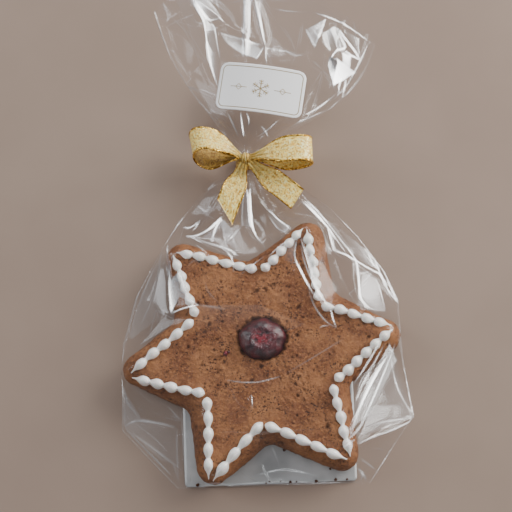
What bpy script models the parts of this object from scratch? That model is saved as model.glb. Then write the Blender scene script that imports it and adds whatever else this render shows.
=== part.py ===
"""A gingerbread star in a clear gift bag tied with a ribbon bow, lying on its back.

The pack is modelled in millimetres about the star's centre: +X to the right, +Y from the bag's base
to its tied neck, +Z up from the surface that it lies on, and written in metres. At the end the whole
pack is moved so that the centre of its footprint is the origin.
"""

import math

import bmesh
import bpy
import numpy as np
from mathutils import Matrix
from mathutils.bvhtree import BVHTree

MM = 0.001

# Layers from the surface up
FILM = 0.4
GAP = 0.3
CARD_THICKNESS = 0.6
CARD_UNDERSIDE = FILM + GAP
CARD_SURFACE = CARD_UNDERSIDE + CARD_THICKNESS
DOUGH_UNDERSIDE = CARD_SURFACE + GAP

# The star: reach and bearing of its six points and six notches, before their corners are rounded
POINT_REACH = (66.3, 67.1, 66.5, 65.9, 66.2, 68.4)
POINT_BEARING = (8.0, 67.7, 129.2, 186.7, 247.8, 309.0)
NOTCH_REACH = (40.8, 40.0, 38.7, 37.8, 37.5, 39.6)
NOTCH_BEARING = (39.3, 97.5, 158.0, 217.7, 276.0, 341.5)
POINT_ROUNDING = 7.0
NOTCH_ROUNDING = 6.0
DOUGH_THICKNESS = 13.6
DOUGH_CROWN = 1.4
CROWN_REACH = 60.0
DOUGH_WAVINESS = 0.3
WIDEST_LEVEL = 4.6
UNDER_EDGE = 2.6
SHOULDER = 8.0

# The candied cherry half and the dimple that it sits in
CHERRY_CENTRE = (1.5, 5.7)
CHERRY_RADII = (10.3, 9.0)
CHERRY_HEIGHT = 5.0
DIMPLE_DEPTH = 1.2

# Piped icing: strokes of pearls from each point to the notches beside it
ICING_POINT_REACH = (57.2, 56.6, 56.0, 54.8, 57.0, 58.0)
ICING_POINT_BEARING = (10.6, 69.8, 130.0, 189.4, 249.0, 310.2)
ICING_NOTCH_REACH = (34.5, 36.2, 32.2, 30.1, 31.6, 35.2)
ICING_NOTCH_BEARING = (38.5, 90.0, 152.2, 219.3, 274.4, 337.6)
PEARLS_BEFORE_POINT = (6, 6, 6, 5, 5, 5)
PEARLS_AFTER_POINT = (5, 5, 5, 5, 4, 5)
NOTCH_SPREAD = 2.8
TAIL_SPREAD = 1.4
TAIL_LENGTH = 0.85
BLUNT_LENGTH = 0.34
PEARL_WIDTH = 4.7
PEARL_HEIGHT = 2.8
STRAND_WIDTH = 1.8
STRAND_HEIGHT = 1.1
ICING_GAP = 0.35

# The base card, folded up behind the star
CARD_WIDTH = 73.0
CARD_DEPTH = 49.0
CARD_CENTRE = (3.3, -29.6)
CARD_TURN = 2.0

# The bag: half outlines (y, x) from the folded base past the ears to the tied neck
LEFT_SIDE = (
    (-55.1, -35.4),
    (-30.0, -59.6),
    (5.3, -59.6),
    (26.0, -54.4),
    (45.2, -44.1),
    (59.1, -36.1),
    (75.0, -22.0),
    (81.4, -10.0),
)
RIGHT_SIDE = (
    (-55.1, 46.2),
    (-26.8, 65.0),
    (-4.5, 61.0),
    (6.5, 59.9),
    (24.0, 59.0),
    (36.8, 53.0),
    (51.8, 42.0),
    (64.3, 30.2),
    (75.6, 14.0),
    (81.4, -1.6),
)
BASE_SLOPE = 0.0254
TENT_LEVEL = 13.0
TENT_SAG = 1.3
POCKET_CLEARANCE = 0.5
NECK = (-5.8, 84.6, 5.2)
NECK_RADIUS = 4.2
NECK_HALF_LENGTH = 3.2
RIDGE_LEVEL = 13.0
NECK_STARTS = 58.0
FAN_REACH = 76.0
FAN_RIGHT_SHORTER = 4.6
FAN_LEFT_BEARING = 119.4
FAN_RIGHT_BEARING = 45.9
FAN_LEFT_BOW = 4.0
FAN_RIGHT_BOW = 9.4
FAN_LEVEL = 12.0
PLEATS = 6
PLEAT_DEPTH = 1.5
PILLOW_ROWS = 26
NECK_ROWS = 8
FAN_ROWS = 11
BAG_COLUMNS = 42

# The ribbon bow
RIBBON_WIDTH = 12.4
RIBBON_THICKNESS = 0.5
TIE_WIDTH = 5.0
KNOT_RADII = (3.8, 3.4, 2.6)
KNOT_LEVEL = 13.2
LEFT_LOOP = {"along": (-0.96, 0.24, 0.10), "across": (0.36, -0.84, 0.42), "length": 20.5, "opening": 8.0}
RIGHT_LOOP = {"along": (0.99, 0.08, 0.10), "across": (0.15, -0.95, 0.26), "length": 25.5, "opening": 5.6}
LOOP_ROOT_SHARE = 0.30
LEFT_TAIL_END = (-14.7, 61.2)
RIGHT_TAIL_END = (16.4, 66.4)
TAIL_WIDTH = 10.2
TAIL_ROOT_SHARE = 0.28

# The sticker on the bag's mouth
LABEL_WIDTH = 37.6
LABEL_HEIGHT = 21.0
LABEL_THICKNESS = 0.3
LABEL_CORNER = 3.4
LABEL_CENTRE = (0.7, 114.8)
LABEL_TURN = -8.5
LABEL_BEND = 0.010


def clear_scene():
    for thing in list(bpy.data.objects):
        bpy.data.objects.remove(thing, do_unlink=True)


def finish_material(name, colour, roughness, metallic=0.0):
    made = bpy.data.materials.new(name)
    made.use_nodes = True
    shader = made.node_tree.nodes["Principled BSDF"]
    shader.inputs["Base Color"].default_value = (*colour, 1.0)
    shader.inputs["Roughness"].default_value = roughness
    shader.inputs["Metallic"].default_value = metallic
    return made


def add_solid(name, points, faces, finish, smooth=True):
    """Links a triangle mesh made from points in millimetres, with its faces turned outwards."""
    mesh = bpy.data.meshes.new(name)
    mesh.from_pydata((np.asarray(points, float) * MM).tolist(), [], faces)
    work = bmesh.new()
    work.from_mesh(mesh)
    bmesh.ops.triangulate(work, faces=work.faces)
    bmesh.ops.recalc_face_normals(work, faces=work.faces)
    work.to_mesh(mesh)
    work.free()
    mesh.materials.append(finish)
    if smooth:
        mesh.shade_smooth()
        mesh.set_sharp_from_angle(angle=math.radians(45))
    made = bpy.data.objects.new(name, mesh)
    bpy.context.collection.objects.link(made)
    return made


def surface_of(solid):
    """A tree of a solid's evaluated faces, for finding its height below a point."""
    return BVHTree.FromObject(solid, bpy.context.evaluated_depsgraph_get())


def level_below(tree, plan):
    """The solid's highest level under each plan point, in millimetres, or 0 where it has none."""
    levels = []
    for x, y in plan:
        hit = tree.ray_cast((x * MM, y * MM, 0.2), (0, 0, -1))[0]
        levels.append(hit.z / MM if hit else 0.0)
    return np.array(levels)


def tube_faces(rings, around):
    """Faces of a tube of closed rings, with a flat cap at each end."""
    faces = []
    for ring in range(rings - 1):
        for step in range(around):
            after = (step + 1) % around
            near = ring * around
            far = near + around
            faces.append((near + step, near + after, far + after, far + step))
    faces.append(tuple(range(around)))
    faces.append(tuple(range((rings - 1) * around, rings * around)))
    return faces


def smooth_step(low, high, value):
    share = np.clip((value - low) / (high - low), 0.0, 1.0)
    return share * share * (3.0 - 2.0 * share)


def unit(vector):
    vector = np.array(vector, float)
    return vector / np.linalg.norm(vector)


def polar(reach, bearing):
    angle = np.radians(bearing)
    return np.stack([reach * np.cos(angle), reach * np.sin(angle)], axis=-1)


# ---- the star's outline and surface -------------------------------------------------------------


def star_corners(point_reach, point_bearing, notch_reach, notch_bearing):
    """Points and notches in turn, anticlockwise."""
    points = polar(np.array(point_reach), np.array(point_bearing))
    notches = polar(np.array(notch_reach), np.array(notch_bearing))
    return np.stack([points, notches], axis=1).reshape(-1, 2)


def round_corners(corners, radii, steps=7):
    """Closed outline with an arc of the given radius in place of each corner."""
    outline = []
    for index, corner in enumerate(corners):
        before = corners[index - 1] - corner
        after = corners[(index + 1) % len(corners)] - corner
        before /= np.linalg.norm(before)
        after /= np.linalg.norm(after)
        half = math.acos(float(np.clip(before @ after, -1, 1))) / 2
        middle = before + after
        middle /= np.linalg.norm(middle)
        centre = corner + middle * radii[index] / math.sin(half)
        start = corner + before * radii[index] / math.tan(half) - centre
        end = corner + after * radii[index] / math.tan(half) - centre
        first = math.atan2(start[1], start[0])
        sweep = (math.atan2(end[1], end[0]) - first + math.pi) % (2 * math.pi) - math.pi
        angles = first + sweep * np.linspace(0, 1, steps)
        outline.extend(centre + radii[index] * np.stack([np.cos(angles), np.sin(angles)], axis=1))
    return np.array(outline)


def grow(outline, margin):
    """The outline moved outwards by the margin, square to its own direction at each point."""
    along = np.roll(outline, -1, axis=0) - np.roll(outline, 1, axis=0)
    along /= np.linalg.norm(along, axis=1)[:, None]
    return outline + margin * np.column_stack([along[:, 1], -along[:, 0]])


def depth_inside(points, outline):
    """Distance from each point to a closed outline, positive inside it and negative outside."""
    start = outline
    along = np.roll(outline, -1, axis=0) - start
    offset = points[:, None, :] - start[None]
    share = np.clip((offset * along).sum(-1) / (along**2).sum(-1), 0, 1)
    distance = np.linalg.norm(offset - share[..., None] * along, axis=-1).min(axis=1)
    above = start[None, :, 1] > points[:, None, 1]
    crosses = above != np.roll(above, -1, axis=1)
    rise = np.where(along[:, 1] == 0, 1e-9, along[:, 1])
    at_x = start[:, 0] + (points[:, None, 1] - start[:, 1]) * along[:, 0] / rise
    inside = (crosses & (points[:, None, 0] < at_x)).sum(axis=1) % 2 == 1
    return np.where(inside, distance, -distance)


def reach_towards(bearings, outline):
    """How far the outline is from the centre along each bearing, in radians."""
    heading = np.stack([np.cos(bearings), np.sin(bearings)], axis=1)[:, None]
    along = np.roll(outline, -1, axis=0) - outline
    turned = heading[..., 0] * along[:, 1] - heading[..., 1] * along[:, 0]
    reach = (outline[:, 0] * along[:, 1] - outline[:, 1] * along[:, 0]) / turned
    share = (outline[:, 0] * heading[..., 1] - outline[:, 1] * heading[..., 0]) / turned
    crossed = (reach > 0) & (share >= -1e-9) & (share <= 1 + 1e-9)
    return np.where(crossed, reach, np.inf).min(axis=1)


ROUNDINGS = (POINT_ROUNDING, NOTCH_ROUNDING) * 6
STAR = round_corners(
    star_corners(POINT_REACH, POINT_BEARING, NOTCH_REACH, NOTCH_BEARING), ROUNDINGS
)


def dough_surface(points):
    """Height of the baked top: a crowned plate with rounded shoulders and a dimple for the cherry."""
    x, y = points[:, 0], points[:, 1]
    depth = np.maximum(depth_inside(points, STAR), 0)
    shoulder = np.sqrt(1 - (1 - np.clip(depth / SHOULDER, 0, 1)) ** 2)
    crown = DOUGH_CROWN * (1 - (x**2 + y**2) / CROWN_REACH**2)
    waves = DOUGH_WAVINESS * (np.sin(0.11 * x + 0.7) * np.cos(0.09 * y) + np.sin(0.07 * (x - y)))
    plate = DOUGH_THICKNESS + crown + waves - WIDEST_LEVEL
    away = np.hypot((x - CHERRY_CENTRE[0]) / CHERRY_RADII[0], (y - CHERRY_CENTRE[1]) / CHERRY_RADII[1])
    dimple = DIMPLE_DEPTH * (1 - smooth_step(1.0, 1.14, away))
    return DOUGH_UNDERSIDE + WIDEST_LEVEL + plate * shoulder - dimple


def build_cookie(finish, around=108):
    """Polar rings, round near the cherry and star-shaped at the rim, over a flat underside."""
    bearings = np.linspace(0, 2 * np.pi, around, endpoint=False)
    rim = reach_towards(bearings, STAR)
    heading = np.stack([np.cos(bearings), np.sin(bearings)], axis=1)
    centre = np.array(CHERRY_CENTRE)
    oval = heading * np.array(CHERRY_RADII)
    edge = rim[:, None] * heading
    dimple_edge = centre + 1.14 * oval
    rings = [centre + share * oval for share in (0.5, 0.97, 1.06)]
    rings += [dimple_edge + share * (edge - dimple_edge) for share in (0, 0.3, 0.58, 0.78, 0.88, 0.95, 1)]
    top = [np.column_stack([ring, dough_surface(ring)]) for ring in rings]
    under_inner = edge * (1 - UNDER_EDGE / rim)[:, None]
    under_middle = edge * (1 - 0.3 * UNDER_EDGE / rim)[:, None]
    top.append(np.column_stack([under_middle, np.full(around, DOUGH_UNDERSIDE + 0.35 * WIDEST_LEVEL)]))
    top.append(np.column_stack([under_inner, np.full(around, DOUGH_UNDERSIDE)]))
    points = np.vstack(top)
    middle = np.append(centre, dough_surface(centre[None])[0])
    faces = tube_faces(len(top), around)[:-2]
    hub = len(points)
    faces += [(hub, (step + 1) % around, step) for step in range(around)]
    faces.append(tuple(range((len(top) - 1) * around, len(top) * around)))
    return add_solid("cookie", np.vstack([points, middle]), faces, finish)


def build_cherry(finish, around=28, levels=6):
    """A squashed half cherry with a gently puckered rim, its cut side down."""
    bearings = np.linspace(0, 2 * np.pi, around, endpoint=False)
    footprint = np.column_stack([np.cos(bearings), np.sin(bearings)]) * np.array(CHERRY_RADII)
    base = float(dough_surface(np.array(CHERRY_CENTRE) + 0.96 * footprint).max()) + GAP
    pucker = 1 + 0.025 * np.sin(5 * bearings) + 0.015 * np.sin(9 * bearings + 1)
    points = []
    for level in range(levels):
        tilt = 0.5 * np.pi * level / levels
        spread = np.cos(tilt) ** 0.75 * pucker
        x = CHERRY_CENTRE[0] + 0.94 * CHERRY_RADII[0] * spread * np.cos(bearings)
        y = CHERRY_CENTRE[1] + 0.94 * CHERRY_RADII[1] * spread * np.sin(bearings)
        z = np.full(around, base + CHERRY_HEIGHT * math.sin(tilt))
        points.append(np.column_stack([x, y, z]))
    faces = tube_faces(levels, around)[:-1]
    crown = levels * around
    ring = (levels - 1) * around
    faces += [(crown, ring + step, ring + (step + 1) % around) for step in range(around)]
    points.append([[*CHERRY_CENTRE, base + CHERRY_HEIGHT]])
    return add_solid("cherry", np.vstack(points), faces, finish)


# ---- piped icing --------------------------------------------------------------------------------


def stroke_ends(point, side):
    """The tail's end near a star point and the last pearl's centre near the notch on one side of it."""
    tip = polar(ICING_POINT_REACH[point], ICING_POINT_BEARING[point])
    notch_index = point if side > 0 else point - 1
    notch = polar(ICING_NOTCH_REACH[notch_index], ICING_NOTCH_BEARING[notch_index])
    inward = -unit(tip)
    outward = unit(notch)
    across_tip = side * np.array([inward[1], -inward[0]])
    across_notch = side * np.array([outward[1], -outward[0]])
    return tip + TAIL_SPREAD * across_tip, notch + NOTCH_SPREAD * across_notch


def build_stroke(name, point, side, pearls, finish, dough_tree):
    """A tail, then pearls joined by thin strands. Each ring is a half oval standing on the dough."""
    start, last_pearl = stroke_ends(point, side)
    last_count = TAIL_LENGTH + pearls - 1
    middles = TAIL_LENGTH + np.arange(pearls)
    strands = middles[:-1, None] + np.array([0.25, 0.5, 0.75])
    count = np.sort(np.concatenate([[0.0, 0.45], middles, strands.ravel()]))
    count = np.append(count, last_count + BLUNT_LENGTH * np.array([0.6, 1.0]))
    swell = (0.5 + 0.5 * np.cos(2 * np.pi * (count - TAIL_LENGTH))) ** 0.7
    swell *= smooth_step(0.0, TAIL_LENGTH, count)
    width = 0.5 * (STRAND_WIDTH + (PEARL_WIDTH - STRAND_WIDTH) * swell)
    height = STRAND_HEIGHT + (PEARL_HEIGHT - STRAND_HEIGHT) * swell
    width[0], height[0] = 0.4, 0.5
    step = (last_pearl - start) / last_count
    line_across = np.array([-step[1], step[0]]) / np.linalg.norm(step)
    turns = np.radians([0, 60, 120, 180])
    base = np.array([-0.5, 0.0, 0.5])
    points = []
    for index, position in enumerate(count):
        offsets = width[index] * np.append(np.cos(turns), base)
        lifts = height[index] * np.append(np.sin(turns), 0 * base)
        ring = start + position * step + offsets[:, None] * line_across
        nearby = [level_below(dough_tree, ring + share * step) for share in (-0.25, 0, 0.25)]
        points.append(np.column_stack([ring, np.max(nearby, axis=0) + ICING_GAP + lifts]))
    around = len(turns) + len(base)
    return add_solid(name, np.vstack(points), tube_faces(len(count), around), finish)


def build_icing(finish, dough_tree):
    for point in range(6):
        for side, pearls in ((-1, PEARLS_BEFORE_POINT[point]), (1, PEARLS_AFTER_POINT[point])):
            number = 2 * point + (1 if side < 0 else 2)
            build_stroke(f"icing_{number:02d}", point, side, pearls, finish, dough_tree)


# ---- card and bag -------------------------------------------------------------------------------


def box_points(width, depth, low, high):
    corners = [(-1, -1), (1, -1), (1, 1), (-1, 1)]
    turn = math.radians(CARD_TURN)
    points = []
    for level in (low, high):
        for sign_x, sign_y in corners:
            x, y = sign_x * width / 2, sign_y * depth / 2
            points.append(
                (
                    CARD_CENTRE[0] + x * math.cos(turn) - y * math.sin(turn),
                    CARD_CENTRE[1] + x * math.sin(turn) + y * math.cos(turn),
                    level,
                )
            )
    return points


def build_card(finish):
    points = box_points(CARD_WIDTH, CARD_DEPTH, CARD_UNDERSIDE, CARD_SURFACE)
    return add_solid("base_card", points, tube_faces(2, 4), finish, smooth=False)


def add_cutter(name, points, faces):
    made = add_solid(name, points, faces, None, smooth=False)
    made.hide_render = True
    made.display_type = "WIRE"
    return made


def side_at(side, y):
    table = np.array(side)
    return np.interp(y, table[:, 0], table[:, 1])


def bag_outline():
    left = np.array([(x, y) for y, x in LEFT_SIDE])
    right = np.array([(x, y) for y, x in RIGHT_SIDE])
    return np.vstack([right, left[::-1]])


def tent_level(points):
    """The film's height between the star's edge and the bag's side folds."""
    from_fold = np.maximum(depth_inside(points, bag_outline()), 0)
    from_star = np.maximum(-depth_inside(points, STAR), 0)
    return FILM + (TENT_LEVEL - FILM) * from_fold / (from_fold + TENT_SAG * from_star + 1e-6)


def pleat(across, depth):
    return depth * np.cos(2 * np.pi * PLEATS * across)


def pillow_row(y, across):
    """(top, underside) of the bag's section at y, with the column positions across from -1 to 1."""
    left, right = side_at(LEFT_SIDE, y), side_at(RIGHT_SIDE, y)
    x = (left + right) / 2 + across * (right - left) / 2
    bulge = np.sqrt(np.maximum(1 - across**2, 0))
    to_neck = smooth_step(NECK_STARTS, NECK[1] - NECK_HALF_LENGTH, y)
    ridge = RIDGE_LEVEL + (NECK[2] + NECK_RADIUS - RIDGE_LEVEL) * to_neck
    middle = NECK[2] * to_neck
    section = middle + (ridge - middle) * bulge
    section += bulge * pleat(across / 2, 3 * PLEAT_DEPTH * to_neck * (1 - to_neck))
    take = smooth_step(NECK_STARTS - 14, NECK_STARTS + 6, y)
    plan = np.column_stack([x, np.full_like(x, y)])
    top = (1 - take) * tent_level(plan) + take * np.maximum(section, FILM)
    lift = smooth_step(NECK[1] - 16, NECK[1] - NECK_HALF_LENGTH, y)
    underside = lift * (NECK[2] - NECK_RADIUS * bulge)
    sheared = y + BASE_SLOPE * x * (1 - smooth_step(-40, 0, y))
    return np.column_stack([x, sheared, top]), np.column_stack([x, sheared, underside])


def fan_row(reach, across):
    """(top, underside) of the open mouth, spread like a fan from the neck."""
    half = (FAN_LEFT_BEARING - FAN_RIGHT_BEARING) / 2
    bearing = np.radians(FAN_RIGHT_BEARING + half * (1 - across))
    shorter = FAN_RIGHT_SHORTER * smooth_step(0, 1, across) * reach / FAN_REACH
    reach = reach - shorter
    side_bow = FAN_LEFT_BOW + (FAN_RIGHT_BOW - FAN_LEFT_BOW) * smooth_step(-1, 1, across)
    bow = across * np.abs(across) * side_bow * np.sin(np.pi * (reach / FAN_REACH) ** 1.5)
    x = NECK[0] + across * NECK_RADIUS + reach * np.cos(bearing) + bow * np.sin(bearing)
    y = NECK[1] + NECK_HALF_LENGTH + reach * np.sin(bearing) - bow * np.cos(bearing)
    bulge = np.sqrt(np.maximum(1 - across**2, 0))
    opened = smooth_step(0, 30, reach)
    ridge = (1 - opened) * (NECK[2] + NECK_RADIUS) + opened * FAN_LEVEL
    middle = NECK[2] * (1 - opened)
    lift = 1 - smooth_step(0, 16, reach)
    quiet = np.exp(-(((x - LABEL_CENTRE[0]) / 24) ** 2) - ((y - LABEL_CENTRE[1]) / 17) ** 2)
    top = middle + (ridge - middle) * bulge
    top += bulge * pleat(across / 2, PLEAT_DEPTH * smooth_step(2, 40, reach)) * (1 - quiet)
    top = np.maximum(top, FILM)
    underside = lift * (NECK[2] - NECK_RADIUS * bulge)
    return np.column_stack([x, y, top]), np.column_stack([x, y, underside])


def build_bag(finish):
    """The filled bag: lofted sections from base to mouth, with a pocket cut for what it holds."""
    across = -np.cos(np.linspace(0, np.pi, BAG_COLUMNS))
    levels = np.concatenate(
        [
            np.linspace(LEFT_SIDE[0][0], NECK_STARTS, PILLOW_ROWS),
            np.linspace(NECK_STARTS, NECK[1] - NECK_HALF_LENGTH, NECK_ROWS + 1)[1:],
        ]
    )
    rows = [pillow_row(y, across) for y in levels]
    rows += [fan_row(reach, across) for reach in np.linspace(0, FAN_REACH, FAN_ROWS + 1)]
    rings = []
    for top, underside in rows:
        underside[:, 2] = np.maximum(np.minimum(underside[:, 2], top[:, 2] - FILM), 0)
        rings.append(np.vstack([top, underside[::-1]]))
    bag = add_solid("bag", np.vstack(rings), tube_faces(len(rings), 2 * BAG_COLUMNS), finish)

    grown = grow(STAR, POCKET_CLEARANCE)
    levels = (DOUGH_UNDERSIDE - GAP, 2 * DOUGH_THICKNESS)
    prism = np.vstack([np.column_stack([grown, np.full(len(grown), level)]) for level in levels])
    pocket = add_cutter("pocket_cutter", prism, tube_faces(2, len(grown)))
    slot_points = box_points(CARD_WIDTH + 2 * GAP, CARD_DEPTH + 2 * GAP, FILM, DOUGH_UNDERSIDE)
    slot = add_cutter("slot_cutter", slot_points, tube_faces(2, 4))
    for cutter in (pocket, slot):
        cut = bag.modifiers.new(cutter.name, "BOOLEAN")
        cut.operation = "DIFFERENCE"
        cut.solver = "EXACT"
        cut.object = cutter
    thin = bag.modifiers.new("flat_faces_joined", "DECIMATE")
    thin.decimate_type = "DISSOLVE"
    thin.angle_limit = math.radians(1.0)
    return bag


# ---- ribbon -------------------------------------------------------------------------------------


def build_band(name, centre, across, width, finish):
    """A ribbon of the given width at each of its points, swept along centre."""
    ahead = np.gradient(centre, axis=0)
    face = np.cross(across, ahead)
    face /= np.linalg.norm(face, axis=1)[:, None]
    side = across * (width / 2)[:, None]
    lift = face * RIBBON_THICKNESS / 2
    under, over = centre - lift, centre + lift
    rings = np.stack([under - side, under + side, over + side, over - side], axis=1)
    return add_solid(name, rings.reshape(-1, 3), tube_faces(len(centre), 4), finish)


def build_loop(name, finish, along, across, length, opening, rings=25):
    """One bow loop: a teardrop, pointed at the knot, swept along the ribbon's width."""
    along = unit(along)
    across = unit(np.array(across) - along * (np.array(across) @ along))
    through = np.cross(across, along)
    share = np.linspace(0.045, 0.955, rings)
    out = length * (1 - np.cos(2 * np.pi * share)) / 2
    bulge = opening * np.sin(2 * np.pi * share) * np.sin(np.pi * share)
    knot = np.array([NECK[0], NECK[1], KNOT_LEVEL])
    start = knot + along * (KNOT_RADII[0] + 0.4)
    centre = start + out[:, None] * along + bulge[:, None] * through
    width = RIBBON_WIDTH * (LOOP_ROOT_SHARE + (1 - LOOP_ROOT_SHARE) * smooth_step(0, 0.62, out / length))
    return build_band(name, centre, np.tile(across, (rings, 1)), width, finish)


def build_tail(name, end, finish, bag_surface, rings=12):
    """One ribbon end, dropping from the knot on to the film and lying along it."""
    knot = np.array([NECK[0], NECK[1]])
    heading = unit(np.array(end) - knot)
    across = np.array([heading[1], -heading[0]])
    share = np.linspace(0, 1, rings)
    start = knot + heading * (KNOT_RADII[1] + 0.6)
    plan = start + share[:, None] * (np.array(end) - start)
    width = TAIL_WIDTH * (TAIL_ROOT_SHARE + (1 - TAIL_ROOT_SHARE) * smooth_step(0, 0.5, share))
    under = np.full(rings, FILM)
    for lane in np.linspace(-0.5, 0.5, 7):
        under = np.maximum(under, level_below(bag_surface, plan + lane * width[:, None] * across))
    spread = np.maximum(under, np.maximum(np.append(under[1:], 0), np.append(0, under[:-1])))
    rest = spread + GAP + RIBBON_THICKNESS
    level = np.maximum(rest, (KNOT_LEVEL - 0.4) * (1 - 2 * share))
    centre = np.column_stack([plan, level])
    return build_band(name, centre, np.tile(np.append(across, 0.0), (rings, 1)), width, finish)


def build_tie(finish, around=24):
    """The turn of ribbon round the gathered neck."""
    turns = np.linspace(0, 2 * np.pi, around, endpoint=False)
    inner = NECK_RADIUS + GAP
    outer = inner + RIBBON_THICKNESS
    profile = ((inner, -1), (outer, -1), (outer, 1), (inner, 1))
    points = []
    for turn in turns:
        for radius, sign in profile:
            points.append(
                (
                    NECK[0] + radius * math.cos(turn),
                    NECK[1] + sign * TIE_WIDTH / 2,
                    NECK[2] + radius * math.sin(turn),
                )
            )
    faces = tube_faces(around, 4)[:-2]
    last = (around - 1) * 4
    for step in range(4):
        after = (step + 1) % 4
        faces.append((last + step, last + after, after, step))
    return add_solid("ribbon_tie", points, faces, finish)


def build_knot(finish, around=14, levels=7):
    """The small flattened knot on top of the tie."""
    points = [(NECK[0], NECK[1], KNOT_LEVEL - KNOT_RADII[2])]
    for level in range(1, levels):
        tilt = np.pi * level / levels
        for turn in np.linspace(0, 2 * np.pi, around, endpoint=False):
            points.append(
                (
                    NECK[0] + KNOT_RADII[0] * math.sin(tilt) * math.cos(turn),
                    NECK[1] + KNOT_RADII[1] * math.sin(tilt) * math.sin(turn),
                    KNOT_LEVEL - KNOT_RADII[2] * math.cos(tilt),
                )
            )
    points.append((NECK[0], NECK[1], KNOT_LEVEL + KNOT_RADII[2]))
    shift = [tuple(index + 1 for index in face) for face in tube_faces(levels - 1, around)[:-2]]
    last = len(points) - 1
    ring = last - around
    caps = [(0, 1 + (step + 1) % around, 1 + step) for step in range(around)]
    caps += [(last, ring + step, ring + (step + 1) % around) for step in range(around)]
    return add_solid("ribbon_knot", points, shift + caps, finish)


def build_ribbon(finish, bag_surface):
    build_tie(finish)
    build_knot(finish)
    build_loop("ribbon_loop_left", finish, **LEFT_LOOP)
    build_loop("ribbon_loop_right", finish, **RIGHT_LOOP)
    build_tail("ribbon_tail_left", LEFT_TAIL_END, finish, bag_surface)
    build_tail("ribbon_tail_right", RIGHT_TAIL_END, finish, bag_surface)


# ---- label --------------------------------------------------------------------------------------


def build_label(finish, bag_surface, columns=9):
    """A round-cornered sticker, bowed across the bag's mouth."""
    half = np.array([LABEL_WIDTH, LABEL_HEIGHT]) / 2
    corners = np.array([(1, 1), (-1, 1), (-1, -1), (1, -1)]) * half
    outline = round_corners(corners, (LABEL_CORNER,) * 4, 4)
    turn = math.radians(LABEL_TURN)
    spin = np.array([[math.cos(turn), -math.sin(turn)], [math.sin(turn), math.cos(turn)]])
    work = bmesh.new()
    ring = [work.verts.new((x, y, 0)) for x, y in outline]
    work.faces.new(ring)
    for cut in np.linspace(-half[0], half[0], columns + 2)[1:-1]:
        every = work.verts[:] + work.edges[:] + work.faces[:]
        bmesh.ops.bisect_plane(work, geom=every, plane_co=(cut, 0, 0), plane_no=(1, 0, 0))
    work.verts.index_update()
    flat = np.array([vertex.co[:2] for vertex in work.verts])
    faces = [tuple(vertex.index for vertex in face.verts) for face in work.faces]
    edges = [edge for edge in work.edges if len(edge.link_faces) == 1]
    rim = [(edge.verts[0].index, edge.verts[1].index) for edge in edges]
    work.free()
    plan = flat @ spin.T + np.array(LABEL_CENTRE)
    grid = np.mgrid[-half[0] : half[0] : 41j, -half[1] : half[1] : 25j].reshape(2, -1).T
    under = level_below(bag_surface, grid @ spin.T + np.array(LABEL_CENTRE))
    rest = (under + LABEL_BEND * grid[:, 0] ** 2).max() + GAP
    low = rest - LABEL_BEND * flat[:, 0] ** 2
    count = len(flat)
    points = np.vstack([np.column_stack([plan, low]), np.column_stack([plan, low + LABEL_THICKNESS])])
    lower = [face[::-1] for face in faces]
    upper = [tuple(index + count for index in face) for face in faces]
    sides = [(a, b, b + count, a + count) for a, b in rim]
    return add_solid("label", points, lower + upper + sides, finish, smooth=False)


def centre_footprint():
    """Moves the whole pack so that its box is centred over the origin and rests at z = 0."""
    solids = [thing for thing in bpy.data.objects if thing.type == "MESH"]
    shown = [thing for thing in solids if not thing.hide_render]
    corners = np.vstack([[vertex.co for vertex in thing.data.vertices] for thing in shown])
    low, high = corners.min(axis=0), corners.max(axis=0)
    move = Matrix.Translation((-(low[0] + high[0]) / 2, -(low[1] + high[1]) / 2, -low[2]))
    for thing in solids:
        thing.data.transform(move)


def main():
    clear_scene()
    dough = finish_material("gingerbread", (0.32, 0.14, 0.055), 0.75)
    sugar = finish_material("royal_icing", (0.86, 0.83, 0.78), 0.45)
    fruit = finish_material("candied_cherry", (0.09, 0.012, 0.02), 0.2)
    board = finish_material("silver_card", (0.42, 0.42, 0.42), 0.35, 0.3)
    film = finish_material("clear_film", (0.85, 0.87, 0.88), 0.1)
    lame = finish_material("gold_ribbon", (0.75, 0.58, 0.30), 0.4, 0.6)
    paper = finish_material("white_paper", (0.88, 0.88, 0.88), 0.4)
    build_card(board)
    cookie = build_cookie(dough)
    build_cherry(fruit)
    build_icing(sugar, surface_of(cookie))
    bag_surface = surface_of(build_bag(film))
    build_ribbon(lame, bag_surface)
    build_label(paper, bag_surface)
    centre_footprint()


main()
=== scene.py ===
"""The looks of a gingerbread star in a clear gift bag: crumb, piped icing, cherry, film and ribbon.

Every piece is worked out in millimetres about the star's centre (+X right, +Y to the bag's neck,
+Z up from the table) and moved into the frame's metres when its mesh is made.
"""

import itertools
import math

import bpy
import numpy as np
from mathutils import Matrix, Vector
from mathutils.bvhtree import BVHTree


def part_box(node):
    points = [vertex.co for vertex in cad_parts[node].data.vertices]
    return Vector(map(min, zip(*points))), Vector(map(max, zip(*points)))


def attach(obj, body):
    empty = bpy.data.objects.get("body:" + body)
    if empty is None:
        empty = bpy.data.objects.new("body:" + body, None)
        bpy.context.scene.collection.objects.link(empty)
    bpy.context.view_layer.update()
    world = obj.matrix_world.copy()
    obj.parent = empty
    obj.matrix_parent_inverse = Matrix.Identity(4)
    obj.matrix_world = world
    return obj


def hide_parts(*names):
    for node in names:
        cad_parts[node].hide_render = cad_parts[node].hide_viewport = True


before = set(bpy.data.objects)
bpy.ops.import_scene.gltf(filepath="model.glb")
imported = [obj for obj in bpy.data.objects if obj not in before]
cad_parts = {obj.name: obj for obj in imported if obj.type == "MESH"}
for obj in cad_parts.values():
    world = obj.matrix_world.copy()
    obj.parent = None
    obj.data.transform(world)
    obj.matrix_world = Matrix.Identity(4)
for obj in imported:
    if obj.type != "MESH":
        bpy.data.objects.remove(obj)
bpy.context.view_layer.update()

MM = 0.001

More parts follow.
